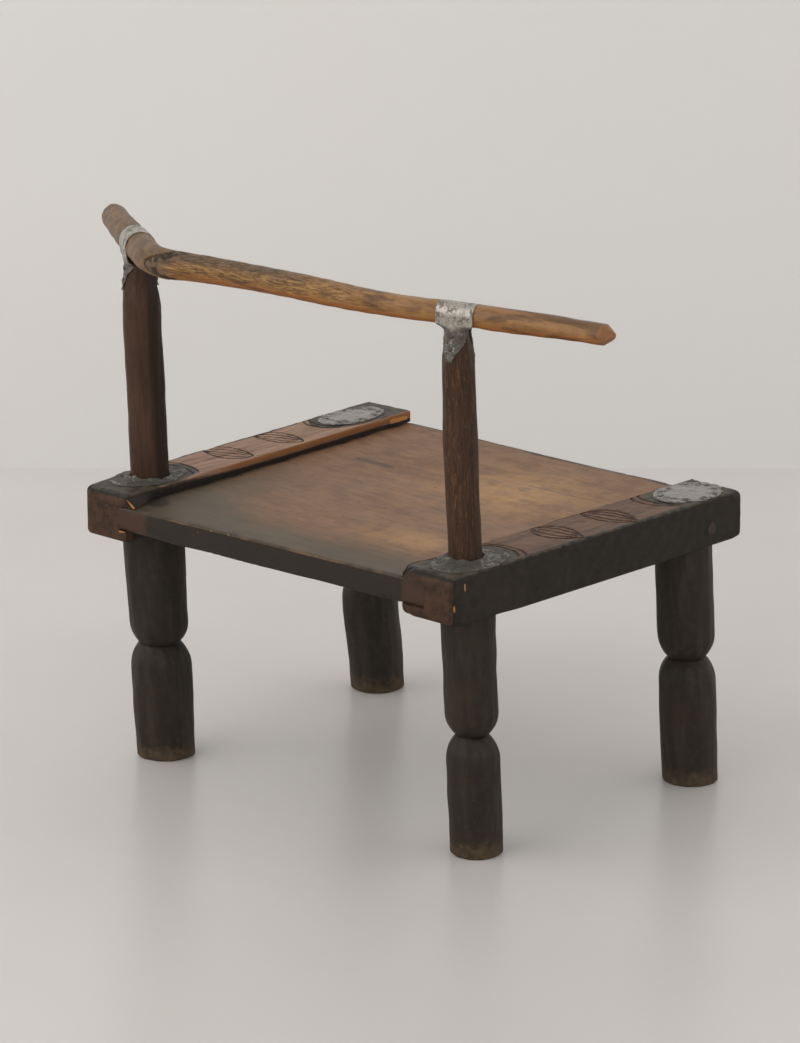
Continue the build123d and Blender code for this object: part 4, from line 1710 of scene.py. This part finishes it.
@dataclass
class Bar(Piece):
    """Bent branch across the posts.

    Attributes:
        bends: (x, y, diameter) from its left end to its right end.
        height: height of its middle line.
        crease: x of the elbow's curved crease, at mid height.
    """

    seat: Seat
    bends: tuple[Point, ...]
    height: float = BAR_HEIGHT
    crease: float = 129.0
    rings: int = 520
    around: int = 80
    node = "back_bar"
    slot = Slot.BAR
    sharp = 30.0

    def shape(self) -> Surface:
        """The branch: rings along the path, domed at the left and cut to a point at the right.

        Formula: the radius is the path's own, times facets and ends, plus swellings: a crease
        and a lip at the elbow, and smooth fields drawn out along the grain.
        """
        knots = np.array([(x, y, self.height, size) for x, y, size in self.bends])
        line = smooth_path(knots, self.rings)
        centres, radius = line[:, :3], line[:, 3] / 2
        left = travelled(centres)
        dome = np.clip(1 - left / 9.0, 0, 1)
        radius = radius * np.sqrt(1 - 0.93 * dome**2.6)
        angles = turns(self.around)
        point = np.clip(1 - (left[-1] - left) / 8.5, 0, 1)[:, None]
        wedge = facet(angles, 4, 0.5)
        rows = radius[:, None] * (1 + 0.1 * (facet(angles, 9, 0.2) - 1))
        rows *= (1 - 0.74 * point**1.3) * (1 + np.minimum(point * 3, 1) * (wedge - 1) * 0.6)
        tangent = np.gradient(centres, axis=0)
        tangent /= np.linalg.norm(tangent, axis=1, keepdims=True)
        sides = np.cross([0, 0, 1.0], tangent)
        ends = np.zeros((1, self.around))
        centres, sides = (np.vstack([v[:1], v, v[-1:]]) for v in (centres, sides))
        surface = tube_skin(centres, np.vstack([ends, rows, ends]), sides, (0, 0, 1.0))
        surface = self.swell(surface, np.repeat(sides, self.around, axis=0))
        surface.masks = self.masks(surface)
        return surface.weld()

    def swell(self, surface: Surface, sides: Array) -> Surface:
        """Swell and dent the branch along the direction out from its line."""
        flow = surface.flow
        reach = np.hypot(flow[:, 0], flow[:, 1])
        out = sides * flow[:, :1] + np.array([0, 0, 1.0]) * flow[:, 1:2]
        out /= np.maximum(reach, TINY)[:, None]
        soft = 0.38 * ripple(flow, 26, 51, (1, 1, 4)) + 0.13 * ripple(flow, 8, 52, (1, 1, 3))
        past = self.past_crease(surface)
        crease, lip, knob = (np.exp(-(((past - middle) / width) ** 2))
                             for middle, width in ((0, 1.3), (-3.0, 2.4), (7, 5)))
        soft += (0.6 * lip - 1.5 * crease + knob * 0.35 * ripple(surface.points, 5, 55)) * step(
            flow[:, 0], 4, -6)
        soft = np.minimum(soft, 0.6) * step(reach, 1, 6)
        surface.points = surface.points + out * soft[:, None]
        return surface

    def past_crease(self, surface: Surface) -> Array:
        """Distance along the branch past the elbow's curved crease, positive to the right.

        Formula: the crease's x at mid height, less x, less the square of a share of the height.
        """
        return self.crease - surface.points[:, 0] - (surface.flow[:, 1] / 2.4) ** 2

    def masks(self, surface: Surface) -> dict[str, Array]:
        """Where the branch is grey, smooth, flecked, fresh or pitted, where its underside carries a
        painted orange highlight, and where its smudges gather: along the top of its right part as painted
        shade, and round its tip.
        """
        x, _, z = surface.points.T
        up = (z - self.height) / 11
        past = self.past_crease(surface)
        rear = step(surface.flow[:, 0], 4, -4)
        knob = step(past, -0.5, 1.0) * step(past, 24, 12)
        knob *= 0.66 + 0.25 * ripple(surface.points, 6, 57)
        grey = step(x, 92, 116) + step(up, -0.1, 0.8) * step(x, -90, 20) * 0.8
        return {
            "grey": np.clip(grey, 0, 1),
            "smooth": step(x, -40, -140),
            "fleck": step(x, 118, 100) * step(x, -190, -10) * (0.25 + 0.75 * step(up, -0.8, 0.4)),
            # Painted highlight: the underside, except near the left end.
            "below": step(up, 0.05, -0.6) * step(x, 112, 84),
            "lip": step(np.abs(past + 2.0), 1.6, 0.4) * rear,
            # Painted shade along the top of the right part; the last stretch by the tip is darker all
            # round.
            "shade": step(up, -0.2, 0.7) * step(x, -175, -240) + 0.5 * step(x, -270, -300),
            "fresh": step(x, -301, -305),
            "pit": np.clip(most(knob, step(np.abs(past), 1.5, 0.5)), 0, 1) * rear,
        }


@dataclass
class Strap(Piece):
    """Tin strap bent over the bar, its tails beaten down the post.

    Attributes:
        flank: the sizes of its side.
        gap: distance from the wood to the sheet.
    """

    seat: Seat
    flank: Flank
    thickness: float = 0.75
    gap: float = 0.1
    columns: int = 44

    @property
    def node(self) -> str:
        """The CAD node's name."""
        return f"strap_{self.flank.side}"

    @property
    def seed(self) -> int:
        """Number that fixes this strap's dents."""
        return 70 + len(self.flank.side)

    def shape(self) -> Surface:
        """The strap as a closed sheet.

        Formula: u runs up one tail, over the bar and down the other tail, and v runs across.
        Over the bar the sheet is an arc of the bar's radius, straight across. On a tail it lies
        on the post, whose round it follows across: out = r cos(v / r), along = r sin(v / r).
        """
        arc = np.linspace(0, pi, 60)
        drop = np.linspace(0, 1, 44)[1:]
        (left, *_), (right, *_) = self.flank.tails
        out = np.concatenate([drop * 0 + 1, np.cos(arc), drop * 0 - 1])
        fall = np.concatenate([drop[::-1] * left, arc * 0, drop * right])
        rise = np.concatenate([drop * 0, np.sin(arc), drop * 0])
        points = np.vstack([self.sheet(out, rise, fall, layer).reshape(-1, 3)
                            for layer in (self.gap + self.thickness, self.gap)])
        count, size = len(out), len(out) * self.columns
        top = grid_faces(count, self.columns)
        faces = [top, top[:, ::-1] + size]
        index = np.arange(size).reshape(count, self.columns)
        for line in (index[:, 0], index[:, -1], index[0], index[-1]):
            faces.append(np.stack([line[:-1], line[1:], line[1:] + size, line[:-1] + size], axis=1))
        depth = np.tile(np.repeat(fall, self.columns), 2)
        tail = step(depth, self.flank.bar * 0.75, self.flank.bar * 1.3)
        return Surface(points, np.vstack(faces), masks={"tail": tail}).weld()

    def half_widths(self, fall: Array, hand: Array) -> Array:
        """Half the strap's width, narrowing fast under the bar and slowly down a ragged tail."""
        result = np.full(len(fall), self.flank.band / 2)
        for sign, (length, wide, _) in zip((1, -1), self.flank.tails):
            taper = wide / 2 * (1 - 0.85 * step(fall, length * 0.3, length * 1.08))
            narrow = result + (taper - result) * step(fall, self.flank.bar * 0.55,
                                                      self.flank.bar * 1.35)
            result = np.where(hand == sign, narrow, result)
        return result

    def sheet(self, out: Array, rise: Array, fall: Array, layer: float) -> Array:
        """Points of one face of the sheet, this far from the wood.

        Args:
            out: cosine of the arc over the bar, and 1 or -1 on the tails.
            rise: its sine, and 0 on the tails.
            fall: distance down from the bar's middle, 0 over the bar.
            layer: distance from the wood.

        Returns:
            One row of places per step along the strap.
        """
        flank, bar, hand = self.flank, self.flank.bar, np.sign(out)
        v = np.linspace(-1, 1, self.columns)
        half, count = self.half_widths(fall, hand), len(out)
        drift = flank.slide * step(fall, bar * 1.5, bar * 0.3)
        for sign, (length, _, stray) in zip((1, -1), flank.tails):
            drift = drift + np.where(hand == sign, stray * step(fall, bar, length), 0)
        jags = (0.9 * wave(turns(count), self.seed + n, (6, 60)) for n in (0, 1))
        left, right = (half * (1 + 0.05 * step(fall, 4, 12) * jag) for jag in jags)
        across = np.where(v < 0, left[:, None] * v, right[:, None] * v) + drift[:, None]
        post = flank.post_radius(flank.bar_height - fall)
        beside = np.where(fall > 0, post, bar)
        reach = bar + (np.minimum(beside, bar) - bar) * step(fall, 2, 16)
        reach = np.where(fall > bar * 0.6, np.maximum(reach, post), reach)[:, None] + layer
        wrap = step(fall, bar * 0.7, bar * 1.4)[:, None]
        angle = np.clip(across / reach, -1.5, 1.5)
        dents = self.dents(out, fall, across)
        along = (1 - wrap) * across + wrap * reach * np.sin(angle)
        along = np.where(wrap > 0, along, across)
        outwards = out[:, None] * (reach * ((1 - wrap) + wrap * np.cos(angle)) + dents)
        fall, rise = fall[:, None], rise[:, None]
        up = rise * (bar + layer + dents * (fall <= 0)) - fall
        return (flank.head + outwards[..., None] * flank.across + along[..., None] * flank.along
                + up[..., None] * flank.lean(self.seat))

    def dents(self, out: Array, fall: Array, across: Array) -> Array:
        """Beaten unevenness: slight over the bar and deep on the tails, never into the wood."""
        u = np.cumsum(np.full(len(out), 1.1))[:, None] * np.ones_like(across)
        flat = np.stack([u.ravel(), across.ravel(), np.zeros(across.size)], axis=1)
        coarse, fine = (ripple(flat, size, self.seed + n).reshape(across.shape)
                        for n, size in ((5, 9), (6, 4)))
        tail = step(fall, 6, 16)[:, None]
        return np.clip(0.07 * coarse + tail * (0.35 + 0.3 * coarse + 0.25 * fine), 0, 1.5)


# ---- Tacks and nails ----


@dataclass
class Tacks(Piece):
    """Hand-made tacks with low domed heads and square shanks, as one piece.

    Attributes:
        node: the CAD node's name.
        places: the middle of the underside of each head.
        normals: unit vector out of each head.
        head: radius of a head.
    """

    seat: Seat
    node: str
    places: Array
    normals: Array
    head: float = 2.1
    shank: float = 0.6
    length: float = 6.5
    height: float = 1.0
    slot = Slot.IRON

    def shape(self) -> Surface:
        """The tacks.

        Formula: each is a profile turned about its own normal, from the shank's tip, out under
        the head and over its dome, with a head that isn't quite round.
        """
        rise = np.array([-1.0, -1.0, -0.25, -0.02, 0.02, 0.3, 0.6, 0.85, 1.0, 1.0])
        size = np.array([0.0, 0.35, 0.4, 0.4, 1.0, 1.0, 0.82, 0.5, 0.2, 0.0])
        heights = np.where(rise < 0, rise * self.length, rise * self.height)
        radii = np.where(rise <= -0.02, size * self.shank / 0.4, size * self.head)[:, None]
        tacks = []
        for number, (place, normal) in enumerate(zip(self.places, self.normals)):
            side = np.cross(normal, [0.3, 0.9, 0.1])
            side /= np.linalg.norm(side)
            rough = 1 + 0.07 * wave(turns(14), number + 5, (2, 5))
            tacks.append(tube_skin(place + heights[:, None] * normal, radii * rough, side,
                                   np.cross(normal, side)).weld())
        return reduce(Surface.joined, tacks)


# ---- Stage ----


@dataclass(frozen=True)
class Stage:
    """Pale floor and wall, soft lights, and the camera.

    Attributes:
        target: where the camera looks, from the middle of the seat.
        azimuth: degrees round from looking along +Y.
        elevation: degrees above the horizon.
        distance: from the camera to the target.
        focal: distance to the picture plane, in units of the picture's pixels.
        picture_height: height of the picture in those pixels.
        wall_gap: from the target back to the wall.
        size: side of the floor, in metres.
        horizon: strength of the sky at the horizon.
        zenith: strength of the sky overhead.
    """

    seat: Seat
    target: Point = (6.853, 6.297, 218.8)
    azimuth: float = 222.58
    elevation: float = 16.25
    distance: float = 3773.0
    focal: float = 4500.0
    picture_height: float = 1043.0
    wall_gap: float = 950.0
    size: float = 14.0
    sensor: float = 36.0
    floor: Colour = swatch(207, 202, 197)
    floor_marks: Colour = swatch(200, 193, 187)
    wall: Colour = swatch(213, 212, 209)
    wall_marks: Colour = swatch(217, 212, 206)
    bounce: Colour = swatch(248, 247, 246)
    sky: Colour = swatch(241, 242, 243)
    horizon: float = 1.85
    zenith: float = 0.42

    @property
    def aim(self) -> Vector:
        """The target in the row's frame, in metres."""
        x, y = self.seat.middle
        return (Vector(self.target) + Vector((x, y, 0))) * MM

    def way(self, turn: float = 0.0, tilt: float = 0.0) -> Vector:
        """Unit vector from the target towards the camera, turned and tilted by these degrees."""
        angle, rise = radians(self.azimuth + turn), radians(tilt)
        return Vector((sin(angle), -cos(angle), 0)) * cos(rise) + Vector((0, 0, sin(rise)))

    def hang(self, data: bpy.types.ID, back: Vector, gap: float) -> bpy.types.Object:
        """Place a camera or lamp this many metres back from the target, looking at it."""
        thing = bpy.data.objects.new(data.name, data)
        thing.location = self.aim + back * gap
        thing.rotation_euler = (-back).to_track_quat("-Z", "Y").to_euler()
        bpy.context.scene.collection.objects.link(thing)
        return thing

    def camera(self) -> None:
        """Set up the camera."""
        data = bpy.data.cameras.new("viewpoint")
        data.sensor_width = self.sensor
        data.lens = self.focal * self.sensor / self.picture_height
        data.clip_end = 50
        bpy.context.scene.camera = self.hang(data, self.way(tilt=self.elevation),
                                             self.distance * MM)

    def plane(self, name: str, corners: list[Vector], finish: Finish) -> None:
        """Add a flat stage piece from its four corners."""
        mesh = bpy.data.meshes.new(name)
        mesh.from_pydata([tuple(corner) for corner in corners], [], [(0, 1, 2, 3)])
        mesh.materials.append(finish)
        sheet = bpy.data.objects.new(name, mesh)
        bpy.context.scene.collection.objects.link(sheet)

    def floor_finish(self) -> Finish:
        """Pale painted floor with a faint gloss."""
        tree = Tree("painted_floor")
        marks = tree.noise(tree.place(), 3.5, 5)
        return tree.output(tree.node("ShaderNodeBsdfPrincipled", inputs={
            "Base Color": tree.mix(marks, self.floor, self.floor_marks),
            "Roughness": 0.3 + (marks - 0.5) * 0.1, "Specular IOR Level": 0.22}))

    def wall_finish(self) -> Finish:
        """Matt wall that is seen from its front only."""
        tree = Tree("matt_wall")
        colour = tree.mix(tree.noise(tree.place(), 1.2, 2), self.wall, self.wall_marks)
        seen = tree.node("ShaderNodeLightPath", output="Is Camera Ray")
        colour = tree.mix(seen, self.bounce, colour)
        matt = tree.node("ShaderNodeBsdfDiffuse", inputs={"Color": colour})
        clear = tree.node("ShaderNodeBsdfTransparent")
        behind = tree.node("ShaderNodeNewGeometry", output="Backfacing")
        return tree.output(tree.node("ShaderNodeMixShader", inputs={0: behind, 1: matt, 2: clear}))

    def room(self) -> None:
        """Add the floor and the wall."""
        half, up, level = self.size / 2, Vector((0, 0, 1)), self.way()
        corners = [Vector((x, y, 0)) * half for x, y in ((-1, -1), (1, -1), (1, 1), (-1, 1))]
        self.plane("studio_floor", corners, self.floor_finish())
        foot = self.aim - level * self.wall_gap * MM
        foot.z = 0
        along = level.cross(up).normalized() * half
        corners = [foot + along, foot - along, foot - along + up * half, foot + along + up * half]
        self.plane("studio_wall", corners, self.wall_finish())

    def light(self) -> None:
        """Set the sky's level and hang a square soft lamp to the left of the camera."""
        air = Tree("studio_air", bpy.data.worlds)
        height = air.apart(air.node("ShaderNodeTexCoord", output="Generated"))[2]
        level = self.horizon + (self.zenith - self.horizon) * height.step(0.0, 1.0)
        shader = air.node("ShaderNodeBackground", inputs={"Color": self.sky, "Strength": level})
        bpy.context.scene.world = air.output(shader, "ShaderNodeOutputWorld")
        lamp = bpy.data.lights.new("window_lamp", "AREA")
        lamp.size, lamp.energy = 2.4, 20
        self.hang(lamp, self.way(-62, 40), 2.6)

    def build(self) -> None:
        """Set up the whole stage."""
        self.camera()
        self.room()
        self.light()
        bpy.context.scene.view_settings.view_transform = "Standard"


# ---- The chair ----

FLANKS = {
    "left": Flank(
        "left", ((181.0, 125.0), (186.5, -135.6)),
        (Waist(103.0, 35.0, 51.3), Waist(103.5, 33.0, 50.0)), (181.3, 136.8), 33.5,
        ((209, 32.6), (400, 32.4), (410, 30.6), (419, 27.0), (436, 23.2), (446, 23)),
        (0.35, 0.3), 1.0, 12.5, ((38.5, 25.0, 3.0), (36.0, 20.0, 3.0)), 26.5, 2.2),
    "right": Flank(
        "right", ((-174.3, 123.8), (-179.5, -139.8)),
        (Waist(101.8, 25.6, 44.0), Waist(108.0, 31.0, 48.3)), (-176.3, 140.2), 11.7,
        ((209, 27.6), (345, 27.4), (370, 26.0), (405, 25.7), (417, 24.8), (431, 20.8),
         (446, 18.6)),
        (0.75, 0.65), 0.35, 9.3, ((41.0, 22.0, 7.0), (36.5, 31.0, -1.0)), 33.0, 2.9),
}


@dataclass
class Chair:
    """The whole chair: the places of its marks, and the order in which its pieces are made."""

    seat: Seat
    tenon: float = 13.5
    press: float = 0.15

    def plates(self) -> dict[str, Plate]:
        """The four corner plates."""
        fan = tuple((turn, 4.6) for turn in (12, 42, 76, 108, 140, 172, 205, 240, 272, 305, 338))
        front_left = ((34, 5), (73, 9), (251, 5), (224, 3.5), (169, 6), (300, 5), (335, 5), (112, 6))
        front_right = ((11, 7.5), (312, 9), (273, 8), (245, 6.4), (208, 4), (169, 4), (73, 6),
                       (125, 5))
        left, right = (flank.hole(self.seat) for flank in FLANKS.values())
        rows = (("rear_left", (182.0, 128.0), 48, 76, fan, 0.02, left),
                ("rear_right", (-181.0, 130.0), 50, 76, fan, 0.02, right),
                ("front_left", (191.8, -130.6), 41, 73, front_left, 0.035, None,
                 (202.0, -152.5, 4.2)),
                ("front_right", (-184.0, -140.0), 50, 69, front_right, 0.03))
        return {row[0]: Plate(self.seat, *row) for row in rows}

    def cuts(self, side: str) -> tuple[Cut, ...]:
        """The lines cut into a rail's top: two leaves, and two arcs round each plate."""
        if side == "left":
            return (
                *leaf((205.2, 39.8), (165.0, 20.5), (
                    (17.6, 0.55, 0.0, 1.0, 1.1), (-14.0, 1.25, 0.0, 1.0, 1.1),
                    (9.5, 0.6, 0.04, 0.92, 0.8), (1.0, 1.0, 0.03, 0.9, 1.0),
                    (-7.0, 1.2, 0.06, 0.9, 0.8))),
                *leaf((208.3, -25.1), (166.3, -43.3), (
                    (19.5, 0.62, 0.0, 1.0, 1.1), (-10.8, 1.35, 0.0, 1.0, 1.1),
                    (12.0, 0.65, 0.04, 0.94, 1.0), (3.5, 0.8, 0.02, 0.9, 1.1),
                    (-4.5, 1.3, 0.05, 0.9, 0.8))),
                Cut((202.5, 84.5), (161.5, 90.5), 5.8), Cut((197.0, 91.0), (161.0, 97.5), 4.6),
                Cut((174.5, -97.5), (212.0, -91.0), 9.0),
                Cut((175.0, -109.0), (210.5, -97.0), 11.0))
        return (
            *leaf((-203.7, 17.6), (-157.0, 26.3), (
                (-15.6, 1.3, 0.0, 1.0, 1.1), (15.8, 1.1, 0.0, 1.0, 1.1),
                (-9.0, 1.2, 0.05, 0.94, 1.0), (8.0, 1.1, 0.06, 0.94, 1.0),
                (-0.8, 1.0, 0.12, 0.88, 1.0))),
            *leaf((-205.3, -48.1), (-156.9, -34.9), (
                (-17.2, 1.2, 0.0, 1.0, 1.1), (12.6, 0.85, 0.0, 1.0, 1.1),
                (-10.5, 1.2, 0.04, 0.95, 1.2), (6.0, 0.9, 0.06, 0.92, 1.0),
                (-3.2, 1.0, 0.08, 0.9, 1.1))),
            Cut((-157.7, 86.9), (-203.0, 86.5), 8.4), Cut((-159.5, 91.5), (-200.0, 93.0), 9.2),
            Cut((-157.7, -99.0), (-203.5, -106.5), -10.6, 0.8),
            Cut((-157.2, -108.4), (-202.0, -111.5), -10.2, 0.8))

    def rail(self, side: str, plates: dict[str, Plate]) -> Rail:
        """A side rail."""
        parts = (self.seat, side, (plates[f"rear_{side}"], plates[f"front_{side}"]),
                 self.cuts(side))
        hole = FLANKS[side].hole(self.seat)
        if side == "left":
            scars = (Scar((151.0, 184.0, 247.0), (143.0, 183.0, 239.8), 1.5),
                     Scar((143.0, 183.0, 239.6), (146.0, 172.0, 239.3), 1.3),
                     Scar((160.0, 185.0, 218.6), (144.0, 185.0, 217.8), 1.5),
                     Scar((164.3, -153.3, 246.0), (164.3, -174.0, 245.0), 3.0))
            return Rail(*parts, (11.0, 4.0, 1.0, 5.0), (8.0, 4.0), (3.0, 3.0),
                        ((3.4, 44.0), (1.0, 20.0)), hole, scars, rubbed=1.0, toe=(8.5, -1.5))
        scars = (Scar((-205.2, 174.0, 228.6), (-205.2, 174.0, 223.0), 1.9),
                 Scar((-205.0, 176.0, 231.6), (-205.0, 176.0, 231.2), 1.2),
                 Scar((-205.2, 162.3, 243.2), (-205.2, 162.3, 237.5), 0.9))
        return Rail(*parts, (4.0, 5.5, 11.0, 3.0), (8.0, 7.0), (6.5, 4.0),
                    ((2.5, 40.0), (6.0, 18.0)), hole, scars, rubbed=0.25, flare=(6.2, 1.2),
                    bun=8.0, sag=0.9)

    def board(self) -> Board:
        """The seat plank."""
        holes = [flank.hole(self.seat) for flank in FLANKS.values()]
        holes += [(*flank.shoulders[1], self.tenon) for flank in FLANKS.values()]
        scars = (Scar((116.0, 183.0, 223.3), (114.5, 183.0, 223.3), 1.3),
                 Scar((84.9, 181.9, 237.7), (83.0, 181.9, 237.7), 0.8),
                 Scar((71.8, 181.5, 234.3), (70.0, 181.5, 234.3), 0.7),
                 Scar((37.6, 180.3, 239.2), (35.5, 180.3, 238.8), 0.8),
                 Scar((-80.8, 176.2, 239.0), (-79.0, 176.3, 238.4), 0.8))
        return Board(self.seat, tuple(holes), scars)

    def bar(self) -> Bar:
        """The back bar."""
        return Bar(self.seat, (
            (279.2, 72.0, 22.2), (252, 90.4, 23.2), (219, 112.4, 24.4), (197, 126.5, 25.0),
            (181.3, 136.8, 25.0), (165, 147.5, 25.0), (150.3, 157.2, 25.0), (137, 165.4, 24.8),
            (124, 169.8, 24.8), (110, 170.2, 24.2), (92.4, 165.2, 22.8), (72.6, 161.9, 22.3),
            (31.9, 157.3, 22.0), (-10.8, 155.2, 21.2), (-54.4, 154.8, 20.5),
            (-96.8, 153.8, 19.5), (-134.8, 148.9, 18.9), (-152.5, 145.2, 18.8),
            (-176.3, 140.2, 18.6), (-205.1, 134.1, 18.6), (-231, 128.6, 18.3),
            (-256.5, 123.1, 17.9), (-283, 117.9, 17.4), (-312.3, 111.9, 17.2)))

    def plate_tacks(self, plate: Plate) -> Tacks:
        """The tacks of a plate, each pressed into its dimple."""
        plan = plate.tack_places()
        places = np.column_stack([plan, self.seat.top + plate.relief(plan) - self.press])
        return Tacks(self.seat, f"plate_tacks_{plate.corner}", places,
                     np.tile([0, 0, 1.0], (len(plan), 1)))

    def strap_nails(self, strap: Strap) -> Tacks:
        """The nails of a strap: down the middle of each tail, square to the post."""
        flank, places, normals = strap.flank, [], []
        for hand in (1, -1):
            for fall in (flank.bar + 7, flank.bar + 17):
                reach = flank.post_radius(flank.bar_height - fall) + strap.gap + strap.thickness
                normals.append(hand * flank.across)
                places.append(flank.head - fall * flank.lean(self.seat)
                              + normals[-1] * (reach + 0.35))
        return Tacks(self.seat, f"strap_nails_{flank.side}", np.array(places),
                     np.array(normals), head=1.8, height=0.7)

    def build(self) -> None:
        """Make every piece."""
        plates = self.plates()
        self.board().build(SeatFinish().build(self.seat))
        rails = {"left": RailFinish("carved_rail_left", swatch(88, 61, 46), swatch(154, 121, 98)),
                 "right": RailFinish("carved_rail_right", swatch(64, 42, 30),
                                     swatch(112, 81, 58), cut=swatch(42, 26, 18))}
        for side, finish in rails.items():
            self.rail(side, plates).build(finish.build())
        sticks = {"left": StickFinish("left_stick", swatch(92, 60, 44), 0.25),
                  "right": StickFinish("right_stick", swatch(116, 78, 46), 0.55)}
        for side, flank in FLANKS.items():
            finish = sticks[side].build()
            rear, front = zip(flank.shoulders, flank.waists)
            Stile(self.seat, f"rear_stile_{side}", *rear, flank=flank).build(finish)
            Leg(self.seat, f"front_leg_{side}", *front).build(finish)
        peg_finish = PegFinish().build()
        for side in FLANKS:
            Peg(self.seat, side).build(peg_finish)
        self.bar().build(BarFinish().build())
        iron = IronFinish().build()
        band = TinFinish("beaten_tin_strap", swatch(166, 160, 149), swatch(86, 79, 67), 0.5).build()
        for flank in FLANKS.values():
            strap = Strap(self.seat, flank)
            strap.build(band)
            self.strap_nails(strap).build(iron)
        tins = {"front": TinFinish("bright_tin", swatch(140, 136, 129), swatch(62, 56, 47), 0.6),
                "rear": TinFinish("sooty_tin", swatch(120, 114, 102), swatch(52, 47, 41), 1.0)}
        finishes = {end: tin.build() for end, tin in tins.items()}
        for corner, plate in plates.items():
            plate.build(finishes[corner.split("_")[0]])
            self.plate_tacks(plate).build(iron)


def main() -> None:
    """Make the chair and its stage."""
    logging.basicConfig(level=logging.INFO, format="%(name)s: %(message)s")
    seat = Seat.from_frame()
    Chair(seat).build()
    Stage(seat).build()


if __name__ == "__main__":
    main()
